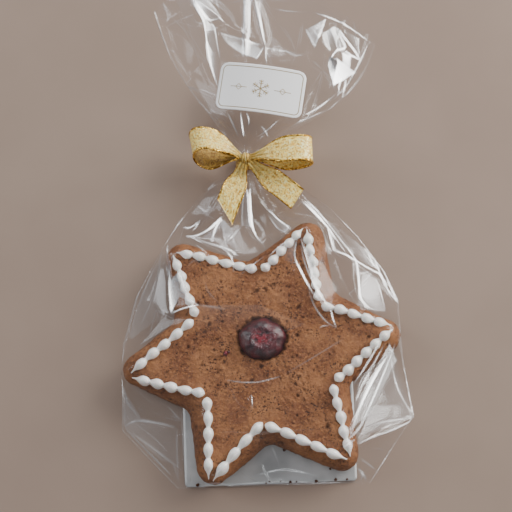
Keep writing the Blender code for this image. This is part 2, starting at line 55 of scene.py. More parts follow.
# The card's place ties the star's own millimetres to the frame
CARD_CENTRE = (3.3, -29.6)
CARD_SIZE = (73.0, 49.0)
CARD_TURN = 2.0
CARD_LEVELS = (0.7, 1.3)
card_box = np.array(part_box("base_card")) / MM
OFFSET = np.append(card_box.mean(axis=0)[:2] - np.array(CARD_CENTRE), 0.0)

# The star: reach and bearing of its points and notches, the roundings, and the dough's section
POINT_REACH = (66.3, 67.1, 66.5, 65.9, 66.2, 68.4)
POINT_BEARING = (8.0, 67.7, 129.2, 186.7, 247.8, 309.0)
NOTCH_REACH = (40.8, 40.0, 38.7, 37.8, 37.5, 39.6)
NOTCH_BEARING = (39.3, 97.5, 158.0, 217.7, 276.0, 341.5)
POINT_ROUNDING = 7.0
NOTCH_ROUNDING = 6.0
DOUGH_UNDERSIDE = 1.6
DOUGH_THICKNESS = 13.6
DOUGH_CROWN = 1.4
CROWN_REACH = 60.0
DOUGH_WAVINESS = 0.3
WIDEST_LEVEL = 4.6
UNDER_EDGE = 2.6
SHOULDER = 8.0

# The cherry
CHERRY_CENTRE = np.array([1.5, 5.7])
CHERRY_RADII = np.array([10.3, 9.0])
CHERRY_HEIGHT = 5.0
DENT_DEPTH = 1.6

# The icing: its corners, then the pearls and the strand that joins them. The tail, the blunt end and
# the taper are lengths counted in pearls, from one pearl's middle to the next
ICING_POINT_REACH = (57.2, 56.6, 56.0, 54.8, 57.0, 58.0)
ICING_POINT_BEARING = (10.6, 69.8, 130.0, 189.4, 249.0, 310.2)
ICING_NOTCH_REACH = (34.5, 36.2, 32.2, 30.1, 31.6, 35.2)
ICING_NOTCH_BEARING = (38.5, 90.0, 152.2, 219.3, 274.4, 337.6)
PEARLS_BEFORE_POINT = (6, 6, 6, 5, 5, 5)
PEARLS_AFTER_POINT = (5, 5, 5, 5, 4, 5)
NOTCH_SPREAD = 2.8
TAIL_SPREAD = 0.9
TAIL_LENGTH = 0.85
PEARL_WIDTH = 4.25
PEARL_HEIGHT = 3.1
STRAND_WIDTH = 1.7
STRAND_HEIGHT = 1.3
TAIL_WIDTH_AT_TIP = 0.35
TAIL_HEIGHT_AT_TIP = 0.4
PEARL_BLUNT_END = 0.40
PEARL_TAPER = 0.60
PEARL_SINK = 0.55

# The bag: half outlines (y, x), the tied neck and the open mouth
LEFT_SIDE = (
    (-55.1, -35.4),
    (-30.0, -59.6),
    (5.3, -59.6),
    (26.0, -54.4),
    (45.2, -44.1),
    (59.1, -36.1),
    (75.0, -22.0),
    (81.4, -10.0),
)
RIGHT_SIDE = (
    (-55.1, 46.2),
    (-26.8, 65.0),
    (-4.5, 61.0),
    (6.5, 59.9),
    (24.0, 59.0),
    (36.8, 53.0),
    (51.8, 42.0),
    (64.3, 30.2),
    (75.6, 14.0),
    (81.4, -1.6),
)
BASE_SLOPE = 0.0254
NECK_PLAN = np.array([-5.8, 84.6])
NECK_X, NECK_Y = NECK_PLAN
NECK_LEVEL = 5.2
NECK_RADIUS = 4.2
NECK_HALF_LENGTH = 3.2
BODY_ENDS = NECK_Y - NECK_HALF_LENGTH
MOUTH_STARTS = NECK_Y + NECK_HALF_LENGTH
GATHERS_START = 76.0
RIDGE_LEVEL = 13.0
NECK_STARTS = 58.0
FILM_CLEARANCE = 0.35
FILM_AT_EDGE = 0.6
FAN_REACH = 76.0
FAN_RIGHT_SHORTER = 4.6
FAN_LEFT_BEARING = 119.4
FAN_RIGHT_BEARING = 45.9
FAN_LEFT_BOW = 4.0
FAN_RIGHT_BOW = 9.4
FAN_LEVEL = 11.0
UNDER_FILM_LEVEL = 0.12

# The film's grid, with a coarser step across the lower film, and its facets: their lattice's cell and
# seed, and how far the fine creases are shifted across that lattice in the mouth
FILM_COLUMNS = 281
BACK_STEP = 5
BODY_ROWS = 284
MOUTH_ROWS = 164
FACET_CELL = 15.0
FACET_SEED = 61
MOUTH_FACET_SHIFT = 37.5

# How a painted glare strip fades: share of its crest, width of the crest, narrowest width, and how much
# narrower it gets on its crisp side and on its soft side
CREST_SHARE = 0.58
CREST_WIDTH = 0.34
NARROWEST_STRIP = 0.28
CRISP_SIDE = 0.25
SOFT_SIDE = 0.60

# The bow. A loop runs along one way and its width lies across another; shear pulls its edges apart and
# the painted shade entry says how far painted shade darkens its inner side. A pinch is the share of the width
# left at the knot
RIBBON_WIDTH = 12.4
KNOT_LEVEL = 13.2
KNOT_HALF_WIDTH = 1.75
KNOT_HALF_LENGTH = 2.3
KNOT_HALF_HEIGHT = 2.2
LOOP_STARTS = 2.0
LOOP_PINCH = 0.22
END_STARTS = 2.4
END_PINCH = 0.40
LEFT_LOOP = {
    "along": (-0.96, 0.24, 0.10),
    "across": (0.36, -0.84, 0.42),
    "length": 21.9,
    "opening": 8.0,
    "shear": 2.2,
    "painted_shade": 0.85,
}
RIGHT_LOOP = {
    "along": (0.99, 0.08, 0.10),
    "across": (0.15, -0.95, 0.26),
    "length": 26.9,
    "opening": 5.6,
    "painted_shade": 0.1,
}
LEFT_TAIL_END = (-14.7, 61.2)
RIGHT_TAIL_END = (16.4, 66.4)
RIBBON_END_WIDTH = 10.2

# The sticker
LABEL_WIDTH = 37.6
LABEL_HEIGHT = 21.0
LABEL_THICKNESS = 0.3
LABEL_CORNER = 3.4
LABEL_CENTRE = np.array([0.7, 114.8])
LABEL_TURN = -8.5
LABEL_BEND = 0.010

# The lights, each with its place in metres, its width and height, its power and its colour
LIGHTS = {
    "key": ((0.78, 0.46, 0.42), (0.60, 0.60), 13.2, (1.0, 0.965, 0.92)),
    "window": ((-0.74, 0.25, 0.50), (0.34, 0.62), 2.9, (0.95, 0.97, 1.0)),
    "top": ((0.05, 0.85, 0.50), (0.70, 0.15), 2.9, (1.0, 1.0, 1.0)),
    "blue": ((0.40, 0.68, 0.62), (0.34, 0.34), 1.2, (0.88, 0.94, 1.0)),
    "low_strip": ((0.28, -0.75, 0.50), (0.60, 0.08), 1.1, (1.0, 1.0, 1.0)),
    "right_side": ((0.95, -0.05, 0.20), (0.12, 0.60), 1.9, (1.0, 0.98, 0.95)),
    "left_side": ((-0.95, 0.05, 0.20), (0.10, 0.60), 0.85, (1.0, 1.0, 1.0)),
}

# The room's even light, and half the table's side in metres
ROOM_COLOUR = (0.95, 0.96, 1.0, 1.0)
ROOM_STRENGTH = 0.30
TABLE_HALF = 3.0

# The camera: degrees off the upright to +X and to -Y, the place it looks at in the star's millimetres, its
# distance from there in metres, and the width of its view there and of its sensor in millimetres
CAMERA_TO_RIGHT = 4.0
CAMERA_TO_BASE = 10.0
CAMERA_TARGET = np.array([-1.9, 43.2, 5.0])
CAMERA_DISTANCE = 0.9
VIEW_WIDTH = 220.0
SENSOR_WIDTH = 36.0

# Where glare is painted on the film, its shading normal leans this way, between straight up and the key light
GLARE_FACING = (3.0, 1.02, 4.9)

# Noise: the length of its tables and a shift that keeps its lattice places above zero
TABLE_SIZE = 8192
LATTICE_SHIFT = 500.0


# ---- small tools --------------------------------------------------------------------------------


def smooth_step(low, high, value):
    """0 below low, 1 above high, and an even S between them."""
    share = np.clip((value - low) / (high - low), 0.0, 1.0)
    return share * share * (3.0 - 2.0 * share)


def unit(vector):
    """Each vector with its length made 1."""
    vector = np.asarray(vector, float)
    return vector / np.linalg.norm(vector, axis=-1, keepdims=True)


def polar(reach, bearing):
    """Plan points at that distance and bearing, in degrees from +X towards +Y."""
    angle = np.radians(bearing)
    return np.stack([reach * np.cos(angle), reach * np.sin(angle)], axis=-1)


def full_turn(steps):
    """Angles all the way round, from 0."""
    return np.linspace(0, 2 * np.pi, steps, endpoint=False)


def smoothed(values, reach=3):
    """Each value as the mean of itself and its neighbours up to that many steps away."""
    padded = np.pad(values, reach, mode="edge")
    return np.convolve(padded, np.full(2 * reach + 1, 1 / (2 * reach + 1)), mode="valid")


def lattice_key(place):
    """A repeatable table row for each whole-numbered lattice place."""
    mixers = (73856093, 19349663, 83492791)
    key = np.zeros(place.shape[:-1], np.int64)
    for axis in range(place.shape[-1]):
        key ^= place[..., axis] * mixers[axis]
    return key % TABLE_SIZE


def soft_noise(points, cell, seed):
    """Noise from -1 to 1: random values on a lattice of that cell, eased between its corners."""
    table = np.random.default_rng(seed).uniform(-1, 1, TABLE_SIZE)
    scaled = np.asarray(points, float) / cell + LATTICE_SHIFT
    base = np.floor(scaled).astype(np.int64)
    part = scaled - base
    part = part * part * (3 - 2 * part)
    total = np.zeros(scaled.shape[:-1])
    for corner in itertools.product((0, 1), repeat=scaled.shape[-1]):
        weight = np.where(np.array(corner) == 1, part, 1 - part).prod(axis=-1)
        total += weight * table[lattice_key(base + np.array(corner))]
    return total


def dents(points, cell, share, radius, seed):
    """Round dents: in that share of the lattice's cells one random point has 1 - (distance / radius)^2."""
    random = np.random.default_rng(seed)
    place = random.uniform(0, 1, (TABLE_SIZE, 3))
    keep = random.uniform(0, 1, TABLE_SIZE) < share
    size = radius * random.uniform(0.5, 1.4, TABLE_SIZE)
    scaled = np.asarray(points, float) / cell + LATTICE_SHIFT
    base = np.floor(scaled).astype(np.int64)
    depth = np.zeros(len(points))
    for corner in itertools.product((-1, 0, 1), repeat=3):
        corner_base = base + np.array(corner)
        key = lattice_key(corner_base)
        away = np.linalg.norm((scaled - corner_base - place[key]) * cell, axis=1) / size[key]
        depth = np.maximum(depth, keep[key] * np.maximum(1 - away**2, 0))
    return depth


def path_distance(plan, path):
    """(distance, share along from 0 to 1, signed side) of each plan point to a path of straight runs."""
    path = np.array(path, float)
    lengths = np.linalg.norm(np.diff(path, axis=0), axis=1)
    starts = np.append(0, np.cumsum(lengths))
    best = np.full(len(plan), np.inf)
    share = np.zeros(len(plan))
    side = np.zeros(len(plan))
    for index, length in enumerate(lengths):
        along = (path[index + 1] - path[index]) / length
        offset = plan - path[index]
        run = np.clip(offset @ along, 0, length)
        away = np.linalg.norm(offset - run[:, None] * along, axis=1)
        nearer = away < best
        best = np.where(nearer, away, best)
        share = np.where(nearer, (starts[index] + run) / starts[-1], share)
        side = np.where(nearer, np.sign(along[0] * offset[:, 1] - along[1] * offset[:, 0]), side)
    return best, share, side


def smooth_path(points, steps):
    """A Catmull-Rom curve through the points, with that many steps to each run."""
    points = np.array(points, float)
    ends = np.vstack([2 * points[0] - points[1], points, 2 * points[-1] - points[-2]])
    t = np.linspace(0, 1, steps, endpoint=False)[:, None]
    runs = []
    for index in range(len(points) - 1):
        a, b, c, d = ends[index : index + 4]
        runs.append(
            0.5 * (2 * b + (c - a) * t + (2 * a - 5 * b + 4 * c - d) * t**2 + (3 * b - a - 3 * c + d) * t**3)
        )
    return np.vstack([*runs, points[-1:]])


# ---- meshes -------------------------------------------------------------------------------------


def grid_faces(rows, columns, closed=False):
    """Four-cornered faces between the rows of a grid; closed joins each row's end to its start."""
    row, column = np.mgrid[0 : rows - 1, 0 : (columns if closed else columns - 1)]
    after = (column + 1) % columns
    near = row * columns
    far = near + columns
    return np.stack([near + column, near + after, far + after, far + column], axis=-1).reshape(-1, 4)


def hub_faces(hub, ring):
    """Triangles from one point to each step of a closed ring."""
    ring = np.asarray(ring)
    return np.column_stack([np.full(len(ring), hub), ring, np.roll(ring, -1)])


def tube_faces(rows, columns):
    """Rings of points joined to a tube and shut by two hubs, the points that follow those of the rings."""
    count = rows * columns
    return [
        grid_faces(rows, columns, closed=True),
        hub_faces(count, np.arange(columns))[:, ::-1],
        hub_faces(count + 1, np.arange(count - columns, count)),
    ]


def volume_of(points, faces):
    """Signed volume: each face's corner dotted with the cross product of its two sides, summed."""
    total = 0.0
    for group in faces:
        first = points[group[:, 0]]
        for index in range(1, group.shape[1] - 1):
            total += (first * np.cross(points[group[:, index]], points[group[:, index + 1]])).sum()
    return total


def add_object(name, data):
    """A new object in the scene, at the origin."""
    made = bpy.data.objects.new(name, data)
    bpy.context.scene.collection.objects.link(made)
    return made


def add_piece(name, points, faces, finish, nodes=(), values=None, uv=None):
    """Makes one piece: points in millimetres, groups of faces turned outwards, values kept by point."""
    points = (np.asarray(points, float).reshape(-1, 3) + OFFSET) * MM
    groups = [np.asarray(group) for group in faces if len(group)]
    if volume_of(points - points.mean(axis=0), groups) < 0:
        groups = [group[:, ::-1] for group in groups]
    corners = np.concatenate([group.ravel() for group in groups])
    counts = np.concatenate([np.full(len(group), group.shape[1]) for group in groups])
    mesh = bpy.data.meshes.new(name)
    mesh.vertices.add(len(points))
    mesh.vertices.foreach_set("co", points.astype(np.float32).ravel())
    mesh.loops.add(len(corners))
    mesh.loops.foreach_set("vertex_index", corners.astype(np.int32))
    mesh.polygons.add(len(counts))
    mesh.polygons.foreach_set("loop_start", (np.cumsum(counts) - counts).astype(np.int32))
    mesh.update(calc_edges=True)
    for key, data in (values or {}).items():
        layer = mesh.attributes.new(key, "FLOAT", "POINT")
        layer.data.foreach_set("value", np.asarray(data, np.float32).ravel())
    if uv is not None:
        layer = mesh.uv_layers.new(name="surface")
        layer.data.foreach_set("uv", np.asarray(uv, np.float32).reshape(-1, 2)[corners].ravel())
    mesh.shade_smooth()
    mesh.materials.append(finish)
    piece = add_object(name, mesh)
    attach(piece, "root")
    if nodes:
        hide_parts(*nodes)
    return piece


# ---- materials ----------------------------------------------------------------------------------


class Finish:
    """A Principled material and short calls for the nodes that feed it."""

    def __init__(self, name, colour=(0.8, 0.8, 0.8), roughness=0.5, **settings):
        self.material = bpy.data.materials.new(name)
        self.material.use_nodes = True
        self.tree = self.material.node_tree
        self.shader = self.tree.nodes["Principled BSDF"]
        self.set(self.shader, "Base Color", (*colour, 1.0))
        self.set(self.shader, "Roughness", roughness)
        for key, value in settings.items():
            self.set(self.shader, key.replace("_", " "), value)

    def set(self, node, key, value):
        """Links a socket to a node's input, or writes a plain value there."""
        if isinstance(value, bpy.types.NodeSocket):
            self.tree.links.new(value, node.inputs[key])
        else:
            node.inputs[key].default_value = value

    def node(self, kind, inputs=None, output=0, **settings):
        """Adds a node and returns one of its outputs."""
        made = self.tree.nodes.new(kind)
        for key, value in settings.items():
            setattr(made, key, value)
        for key, value in (inputs or {}).items():
            self.set(made, key, value)
        return made.outputs[output]

    def place(self):
        """Where each point is, in metres."""
        return self.node("ShaderNodeTexCoord", output="Object")

    def along_surface(self):
        """Where each point is on its flat surface, in millimetres."""
        return self.node("ShaderNodeTexCoord", output="UV")

    def value(self, name):
        """A value that the mesh keeps by point."""
        return self.node("ShaderNodeAttribute", output="Fac", attribute_name=name)

    def noise(self, size, detail=3.0, roughness=0.55, place=None):
        """Noise whose blobs are about that many millimetres across."""
        scale = {"Vector": place or self.place(), "Scale": 1 / (size * MM), "Detail": detail}
        return self.node("ShaderNodeTexNoise", {**scale, "Roughness": roughness}, output="Fac")

    def math(self, operation, first, second=0.0):
        """One sum, product or other operation on two values."""
        return self.node("ShaderNodeMath", {0: first, 1: second}, operation=operation)

    def spread(self, value, low, high, to_low=0.0, to_high=1.0):
        """Moves the range from low to high on to another, with eased ends."""
        inputs = {"Value": value, 1: low, 2: high, 3: to_low, 4: to_high}
        return self.node("ShaderNodeMapRange", inputs, interpolation_type="SMOOTHSTEP")

    def blend(self, share, first, second):
        """The first colour where the share is 0 and the second where it is 1."""
        made = self.tree.nodes.new("ShaderNodeMix")
        made.data_type = "RGBA"
        self.set(made, 0, share)
        self.set(made, 6, first if isinstance(first, bpy.types.NodeSocket) else (*first, 1.0))
        self.set(made, 7, second if isinstance(second, bpy.types.NodeSocket) else (*second, 1.0))
        return made.outputs[2]

    def bump(self, height, depth, strength=1.0, normal=None):
        """Relief that many millimetres deep."""
        inputs = {"Height": height, "Distance": depth * MM, "Strength": strength}
        if normal is not None:
            inputs["Normal"] = normal
        return self.node("ShaderNodeBump", inputs)

    def use(self, **sockets):
        """Feeds the shader's sockets and returns the material."""
        for key, value in sockets.items():
            self.set(self.shader, key.replace("_", " "), value)
        return self.material


def gingerbread():
    """Baked crumb: mottled brown with golden grains on an open crumb; painted shade darkens its pits, its
    holes and its lower side, and it is darker along the top of its rim.
    """
    finish = Finish("gingerbread", (0.22, 0.08, 0.03), 0.72)
    mottle = finish.spread(finish.noise(12.0, 4.0), 0.34, 0.66)
    colour = finish.blend(mottle, (0.200, 0.068, 0.022), (0.355, 0.146, 0.054))
    freckle = finish.spread(finish.noise(1.2, 3.0, 0.6), 0.50, 0.66)
    colour = finish.blend(finish.math("MULTIPLY", freckle, 0.45), colour, (0.50, 0.22, 0.078))
    patch = finish.spread(finish.noise(8.0, 3.0), 0.42, 0.60, 0.15, 1.0)
    # Small holes in the crumb: pressed in by the bump below and darkened with painted shade
    shaded_holes = finish.spread(finish.noise(0.75, 3.0, 0.6), 0.56, 0.62)
    shaded_holes = finish.math("MULTIPLY", shaded_holes, patch)
    colour = finish.blend(shaded_holes, colour, (0.045, 0.013, 0.005))
    # Painted shade: the pits darkened as if shade fell in them
    colour = finish.blend(finish.math("MULTIPLY", finish.value("pit_shade"), 0.8), colour, (0.040, 0.012, 0.005))
    # Painted shade on the lower side wall, with a darker band along the top of the rim
    colour = finish.blend(finish.value("browned_and_shaded"), colour, (0.096, 0.030, 0.010))
    grain = finish.bump(finish.noise(0.7, 4.0, 0.75), 0.45, 1.0)
    holes = finish.bump(finish.math("SUBTRACT", 1.0, shaded_holes), 0.5, 1.0, grain)
    crumb = finish.bump(finish.noise(2.2, 5.0, 0.72), 1.1, 1.0, holes)
    roughness = finish.spread(finish.noise(2.5), 0.3, 0.7, 0.55, 0.80)
    return finish.use(Base_Color=colour, Roughness=roughness, Normal=crumb, Specular_IOR_Level=0.35)


def royal_icing():
    """Set sugar icing: warm white, a little see-through, with a soft gloss."""
    finish = Finish("royal_icing", (0.90, 0.87, 0.81), 0.32)
    tint = finish.spread(finish.noise(4.0), 0.35, 0.65)
    colour = finish.blend(tint, (0.92, 0.89, 0.83), (0.96, 0.95, 0.92))
    skin = finish.bump(finish.noise(1.2, 3.0), 0.05, 0.5)
    shader = {"Subsurface_Weight": 0.12, "Subsurface_Scale": 1.2 * MM, "Coat_Weight": 0.6}
    return finish.use(Base_Color=colour, Normal=skin, Coat_Roughness=0.30, **shader)


def candied_cherry():
    """Dark red skin under syrup, with whitish frost where the skin is creased: partly sugar, partly painted
    glints.
    """
    finish = Finish("candied_cherry", (0.07, 0.008, 0.012), 0.22)
    depth = finish.spread(finish.noise(3.2, 3.0), 0.35, 0.70)
    colour = finish.blend(depth, (0.025, 0.005, 0.008), (0.088, 0.010, 0.014))
    flesh = finish.math("MULTIPLY", finish.value("flesh"), finish.spread(finish.noise(1.6), 0.40, 0.62))
    colour = finish.blend(finish.math("MULTIPLY", flesh, 0.7), colour, (0.26, 0.017, 0.030))
    # Whitish frost: partly sugar crystals, partly painted glints
    frost_and_glints = finish.math("MULTIPLY", finish.value("sugar_and_glints"), finish.spread(finish.noise(0.6, 4.0), 0.52, 0.62))
    colour = finish.blend(frost_and_glints, colour, (0.56, 0.46, 0.49))
    crease = finish.bump(finish.noise(1.1, 4.0, 0.6), 0.30, 0.8)
    roughness = finish.spread(frost_and_glints, 0.0, 1.0, 0.34, 0.60)
    return finish.use(
        Base_Color=colour, Roughness=roughness, Normal=crease, Coat_Weight=0.15, Coat_Roughness=0.15
    )


def silver_card():
    """Silver-grey card with faint cloudy shading."""
    finish = Finish("silver_card", (0.42, 0.43, 0.44), 0.38, Metallic=0.25)
    shade = finish.spread(finish.noise(14.0, 2.0), 0.35, 0.65)
    colour = finish.blend(shade, (0.47, 0.48, 0.48), (0.61, 0.615, 0.615))
    return finish.use(Base_Color=colour, Normal=finish.bump(finish.noise(0.5), 0.03, 0.5))


def clear_film():
    """Glossy film: a mirror as strong as its two faces make it, clear elsewhere, and white where glare is
    painted on it.

    The mirror's share is 0.038 seen square on and rises with the facing value's power of 4.5.
    """
    finish = Finish("clear_film", (0.94, 0.97, 1.0), 0.15)
    along = finish.node("ShaderNodeCombineXYZ", {0: finish.value("turn"), 1: finish.value("away")})
    pleats = finish.node("ShaderNodeTexNoise", {"Vector": along, "Scale": 1.0, "Detail": 1.0}, output="Fac")
    tight = finish.spread(finish.value("neck"), 0.0, 1.0)
    skin = finish.bump(finish.math("MULTIPLY", pleats, tight), 0.6, 0.5)
    facing = finish.node("ShaderNodeLayerWeight", {"Blend": 0.5, "Normal": skin}, output="Facing")
    share = finish.math("MULTIPLY_ADD", finish.math("POWER", facing, 4.5), 0.34)
    share.node.inputs[2].default_value = 0.038
    # Painted highlights: thin white lines along the facets' creases where the film hangs loose
    lattice = [finish.value("lattice_u"), finish.value("lattice_v")]
    lattice.append(finish.math("ADD", *lattice))
    nearest = None
    for value in lattice:
        away = finish.math("PINGPONG", value, 0.5)
        nearest = away if nearest is None else finish.math("MINIMUM", nearest, away)
    line = finish.spread(nearest, 0.004, 0.026, 1.0, 0.0)
    patchy = finish.math("MULTIPLY", finish.spread(finish.noise(16.0, 2.0), 0.44, 0.62), 0.24)
    line = finish.math("MULTIPLY", line, finish.math("MULTIPLY", patchy, finish.value("loose")))
    # The painted glare and the painted crease highlights make the film whiter, less clear, less of a mirror
    # and rougher
    white = finish.math("MAXIMUM", line, finish.value("painted_glare"))
    metal = finish.spread(white, 0.02, 0.25, 1.0, 0.60)
    alpha = finish.math("MAXIMUM", share, white)
    rough = finish.spread(white, 0.0, 0.4, 0.15, 0.26)
    lean = {0: GLARE_FACING, "Scale": finish.value("painted_glare")}
    lean = finish.node("ShaderNodeVectorMath", lean, operation="SCALE")
    leaned = finish.node("ShaderNodeVectorMath", {0: skin, 1: lean}, operation="ADD")
    leaned = finish.node("ShaderNodeVectorMath", {0: leaned}, operation="NORMALIZE")
    return finish.use(Alpha=alpha, Metallic=metal, Roughness=rough, Normal=leaned, Specular_IOR_Level=0.9)


def gold_ribbon():
    """Gold weave: pale threads under scattered glitter that is partly painted glints, and glittering metal
    wire along both edges; painted shade darkens it where its back value says.
    """
    finish = Finish("gold_ribbon", (0.80, 0.60, 0.28), 0.42)
    surface = finish.along_surface()
    glint = finish.node("ShaderNodeTexVoronoi", {"Vector": surface, "Scale": 1.9}, output="Color")
    parts = finish.node("ShaderNodeSeparateColor", {0: glint})
    other = finish.node("ShaderNodeSeparateColor", {0: glint}, output=1)
    patch = finish.node("ShaderNodeTexNoise", {"Vector": surface, "Scale": 0.35, "Detail": 2.0}, output="Fac")
    colour = finish.blend(finish.spread(parts, 0.15, 0.75), (0.50, 0.25, 0.022), (1.0, 0.78, 0.20))
    colour = finish.blend(finish.spread(patch, 0.42, 0.62, 0.0, 0.45), colour, (1.0, 0.60, 0.11))
    # Pale gold glitter: partly the weave's own glitter, partly painted glints
    glitter_and_glints = finish.spread(other, 0.72, 0.80)
    colour = finish.blend(glitter_and_glints, colour, (1.0, 0.92, 0.42))
    wave = {"Vector": surface, "Scale": 1.1, "Distortion": 1.0}
    weave_along = finish.node("ShaderNodeTexWave", wave, output="Fac")
    weave_across = finish.node("ShaderNodeTexWave", wave, output="Fac", bands_direction="Y")
    threads = finish.math("MULTIPLY", weave_along, weave_across)
    colour = finish.blend(finish.spread(threads, 0.1, 0.9, 0.0, 0.15), colour, (1.0, 0.82, 0.34))
    # The darker gold of painted shade, laid on where the back value says
    painted_shade = finish.blend(parts, (0.16, 0.065, 0.007), (0.48, 0.27, 0.04))
    colour = finish.blend(finish.value("back"), colour, painted_shade)
    wire = finish.blend(finish.spread(other, 0.4, 0.6), (0.22, 0.10, 0.010), (1.0, 0.66, 0.16))
    colour = finish.blend(finish.value("wire"), colour, wire)
    shine = finish.math("MAXIMUM", finish.math("MULTIPLY", glitter_and_glints, 0.10), finish.value("wire"))
    roughness = finish.spread(other, 0.0, 1.0, 0.50, 0.22)
    relief = finish.bump(parts, 0.09, 1.0)
    return finish.use(Base_Color=colour, Roughness=roughness, Metallic=shine, Normal=relief)


def label_paper():
    """White gloss paper with a thin gold line set in from its round-cornered edge."""
    finish = Finish("label_paper", (0.80, 0.80, 0.80), 0.32)
    surface = finish.along_surface()
    folded = finish.node("ShaderNodeVectorMath", {0: surface}, operation="ABSOLUTE")
    inner = (LABEL_WIDTH / 2 - LABEL_CORNER, LABEL_HEIGHT / 2 - LABEL_CORNER, 0.0)
    corner = finish.node("ShaderNodeVectorMath", {0: folded, 1: inner}, operation="SUBTRACT")
    corner = finish.node("ShaderNodeVectorMath", {0: corner, 1: (0.0, 0.0, 0.0)}, operation="MAXIMUM")
    reach = finish.node("ShaderNodeVectorMath", {0: corner}, output="Value", operation="LENGTH")
    away = finish.math("ABSOLUTE", finish.math("SUBTRACT", reach, LABEL_CORNER - 1.35))
    line = finish.spread(away, 0.13, 0.24, 1.0, 0.0)
    colour = finish.blend(line, (0.90, 0.90, 0.905), (0.28, 0.20, 0.08))
    paper = finish.bump(finish.noise(0.4), 0.02, 0.4)
    return finish.use(Base_Color=colour, Normal=paper, Coat_Weight=0.3, Coat_Roughness=0.12)


def gold_foil():
    """Printed gold foil."""
    return Finish("gold_foil", (0.40, 0.29, 0.12), 0.38, Metallic=0.6).material


# ---- the star -----------------------------------------------------------------------------------


def star_corners(point_reach, point_bearing, notch_reach, notch_bearing):
    """The star's corners in turn: point, notch, point, notch and so on."""
    points = polar(np.array(point_reach), np.array(point_bearing))
    notches = polar(np.array(notch_reach), np.array(notch_bearing))
    return np.stack([points, notches], axis=1).reshape(-1, 2)


def round_corners(corners, radii, steps=12):
    """Closed outline with an arc of the given radius in place of each corner."""
    outline = []
    for index, corner in enumerate(corners):
        before = unit(corners[index - 1] - corner)
        after = unit(corners[(index + 1) % len(corners)] - corner)
        half = math.acos(float(np.clip(before @ after, -1, 1))) / 2
        centre = corner + unit(before + after) * radii[index] / math.sin(half)
        start = corner + before * radii[index] / math.tan(half) - centre
        end = corner + after * radii[index] / math.tan(half) - centre
        first = math.atan2(start[1], start[0])
        sweep = (math.atan2(end[1], end[0]) - first + math.pi) % (2 * math.pi) - math.pi
        angles = first + sweep * np.linspace(0, 1, steps)
        outline.extend(centre + radii[index] * np.stack([np.cos(angles), np.sin(angles)], axis=1))
    return np.array(outline)


def depth_inside(points, outline):
    """Distance from each point to a closed outline, positive inside it and negative outside."""
    distance = np.full(len(points), np.inf)
    inside = np.zeros(len(points), bool)
    for start, end in zip(outline, np.roll(outline, -1, axis=0)):
        along = end - start
        length = along @ along
        if length < 1e-9:
            continue
        offset = points - start
        share = np.clip(offset @ along / length, 0, 1)
        distance = np.minimum(distance, np.linalg.norm(offset - share[:, None] * along, axis=1))
        crosses = (start[1] > points[:, 1]) != (end[1] > points[:, 1])
        rise = along[1] if along[1] else 1e-9
        inside ^= crosses & (points[:, 0] < start[0] + offset[:, 1] * along[0] / rise)
    return np.where(inside, distance, -distance)


def reach_towards(bearings, outline):
    """How far the outline is from the centre along each bearing."""
    heading = np.stack([np.cos(bearings), np.sin(bearings)], axis=1)[:, None]
    along = np.roll(outline, -1, axis=0) - outline
    turned = heading[..., 0] * along[:, 1] - heading[..., 1] * along[:, 0]
    reach = (outline[:, 0] * along[:, 1] - outline[:, 1] * along[:, 0]) / turned
    share = (outline[:, 0] * heading[..., 1] - outline[:, 1] * heading[..., 0]) / turned
    crossed = (reach > 0) & (share >= -1e-9) & (share <= 1 + 1e-9)
    return np.where(crossed, reach, np.inf).min(axis=1)


STAR_CORNERS = star_corners(POINT_REACH, POINT_BEARING, NOTCH_REACH, NOTCH_BEARING)
STAR = round_corners(STAR_CORNERS, (POINT_ROUNDING, NOTCH_ROUNDING) * 6)


def dough_surface(plan, margin=0.0, dent=True):
    """The baked top: a crowned plate with rounded shoulders, gentle waves and the cherry's dent."""
    x, y = plan[:, 0], plan[:, 1]
    depth = np.maximum(depth_inside(plan, STAR) + margin, 0)
    shoulder = np.sqrt(1 - (1 - np.clip(depth / SHOULDER, 0, 1)) ** 2)
    crown = DOUGH_CROWN * (1 - (x**2 + y**2) / CROWN_REACH**2)
    waves = DOUGH_WAVINESS * (np.sin(0.11 * x + 0.7) * np.cos(0.09 * y) + np.sin(0.07 * (x - y)))
    level = DOUGH_UNDERSIDE + WIDEST_LEVEL + (DOUGH_THICKNESS + crown + waves - WIDEST_LEVEL) * shoulder
    if dent:
        offset = (plan - CHERRY_CENTRE) / CHERRY_RADII
        away = np.hypot(offset[:, 0], offset[:, 1])
        bearing = np.arctan2(offset[:, 1], offset[:, 0])
        jag = 0.03 * np.sin(7 * bearing) + 0.02 * np.sin(13 * bearing + 2) + 0.02 * np.sin(23 * bearing)
        lip = 0.30 * np.exp(-(((away - 1.14 - jag) / 0.05) ** 2))
        level += lip - DENT_DEPTH * (1 - smooth_step(0.97, 1.07, away - jag))
    return level


def cookie_relief(points, roughness):
    """(relief, pit_shade): relief in mm from rolling dough, crumb of three sizes, open pits and raised
    grains, and how much painted shade darkens each pit.
    """
    relief = 0.28 * soft_noise(points, 9.0, 11)
    for height, cell, seed in ((0.18, 3.1, 12), (0.17, 1.5, 13), (0.12, 1.0, 14)):
        relief += roughness * height * soft_noise(points, cell, seed)
    large = dents(points, 4.4, 0.30, 1.0, 15)
    small = dents(points, 2.0, 0.50, 0.60, 16)
    grains = dents(points, 2.9, 0.40, 0.7, 17)
    # Where the pits get painted shade
    pit_shade = np.maximum(large, 0.85 * small)
    relief += roughness * (0.16 * grains - 0.75 * large - 0.45 * small)
    return relief, pit_shade


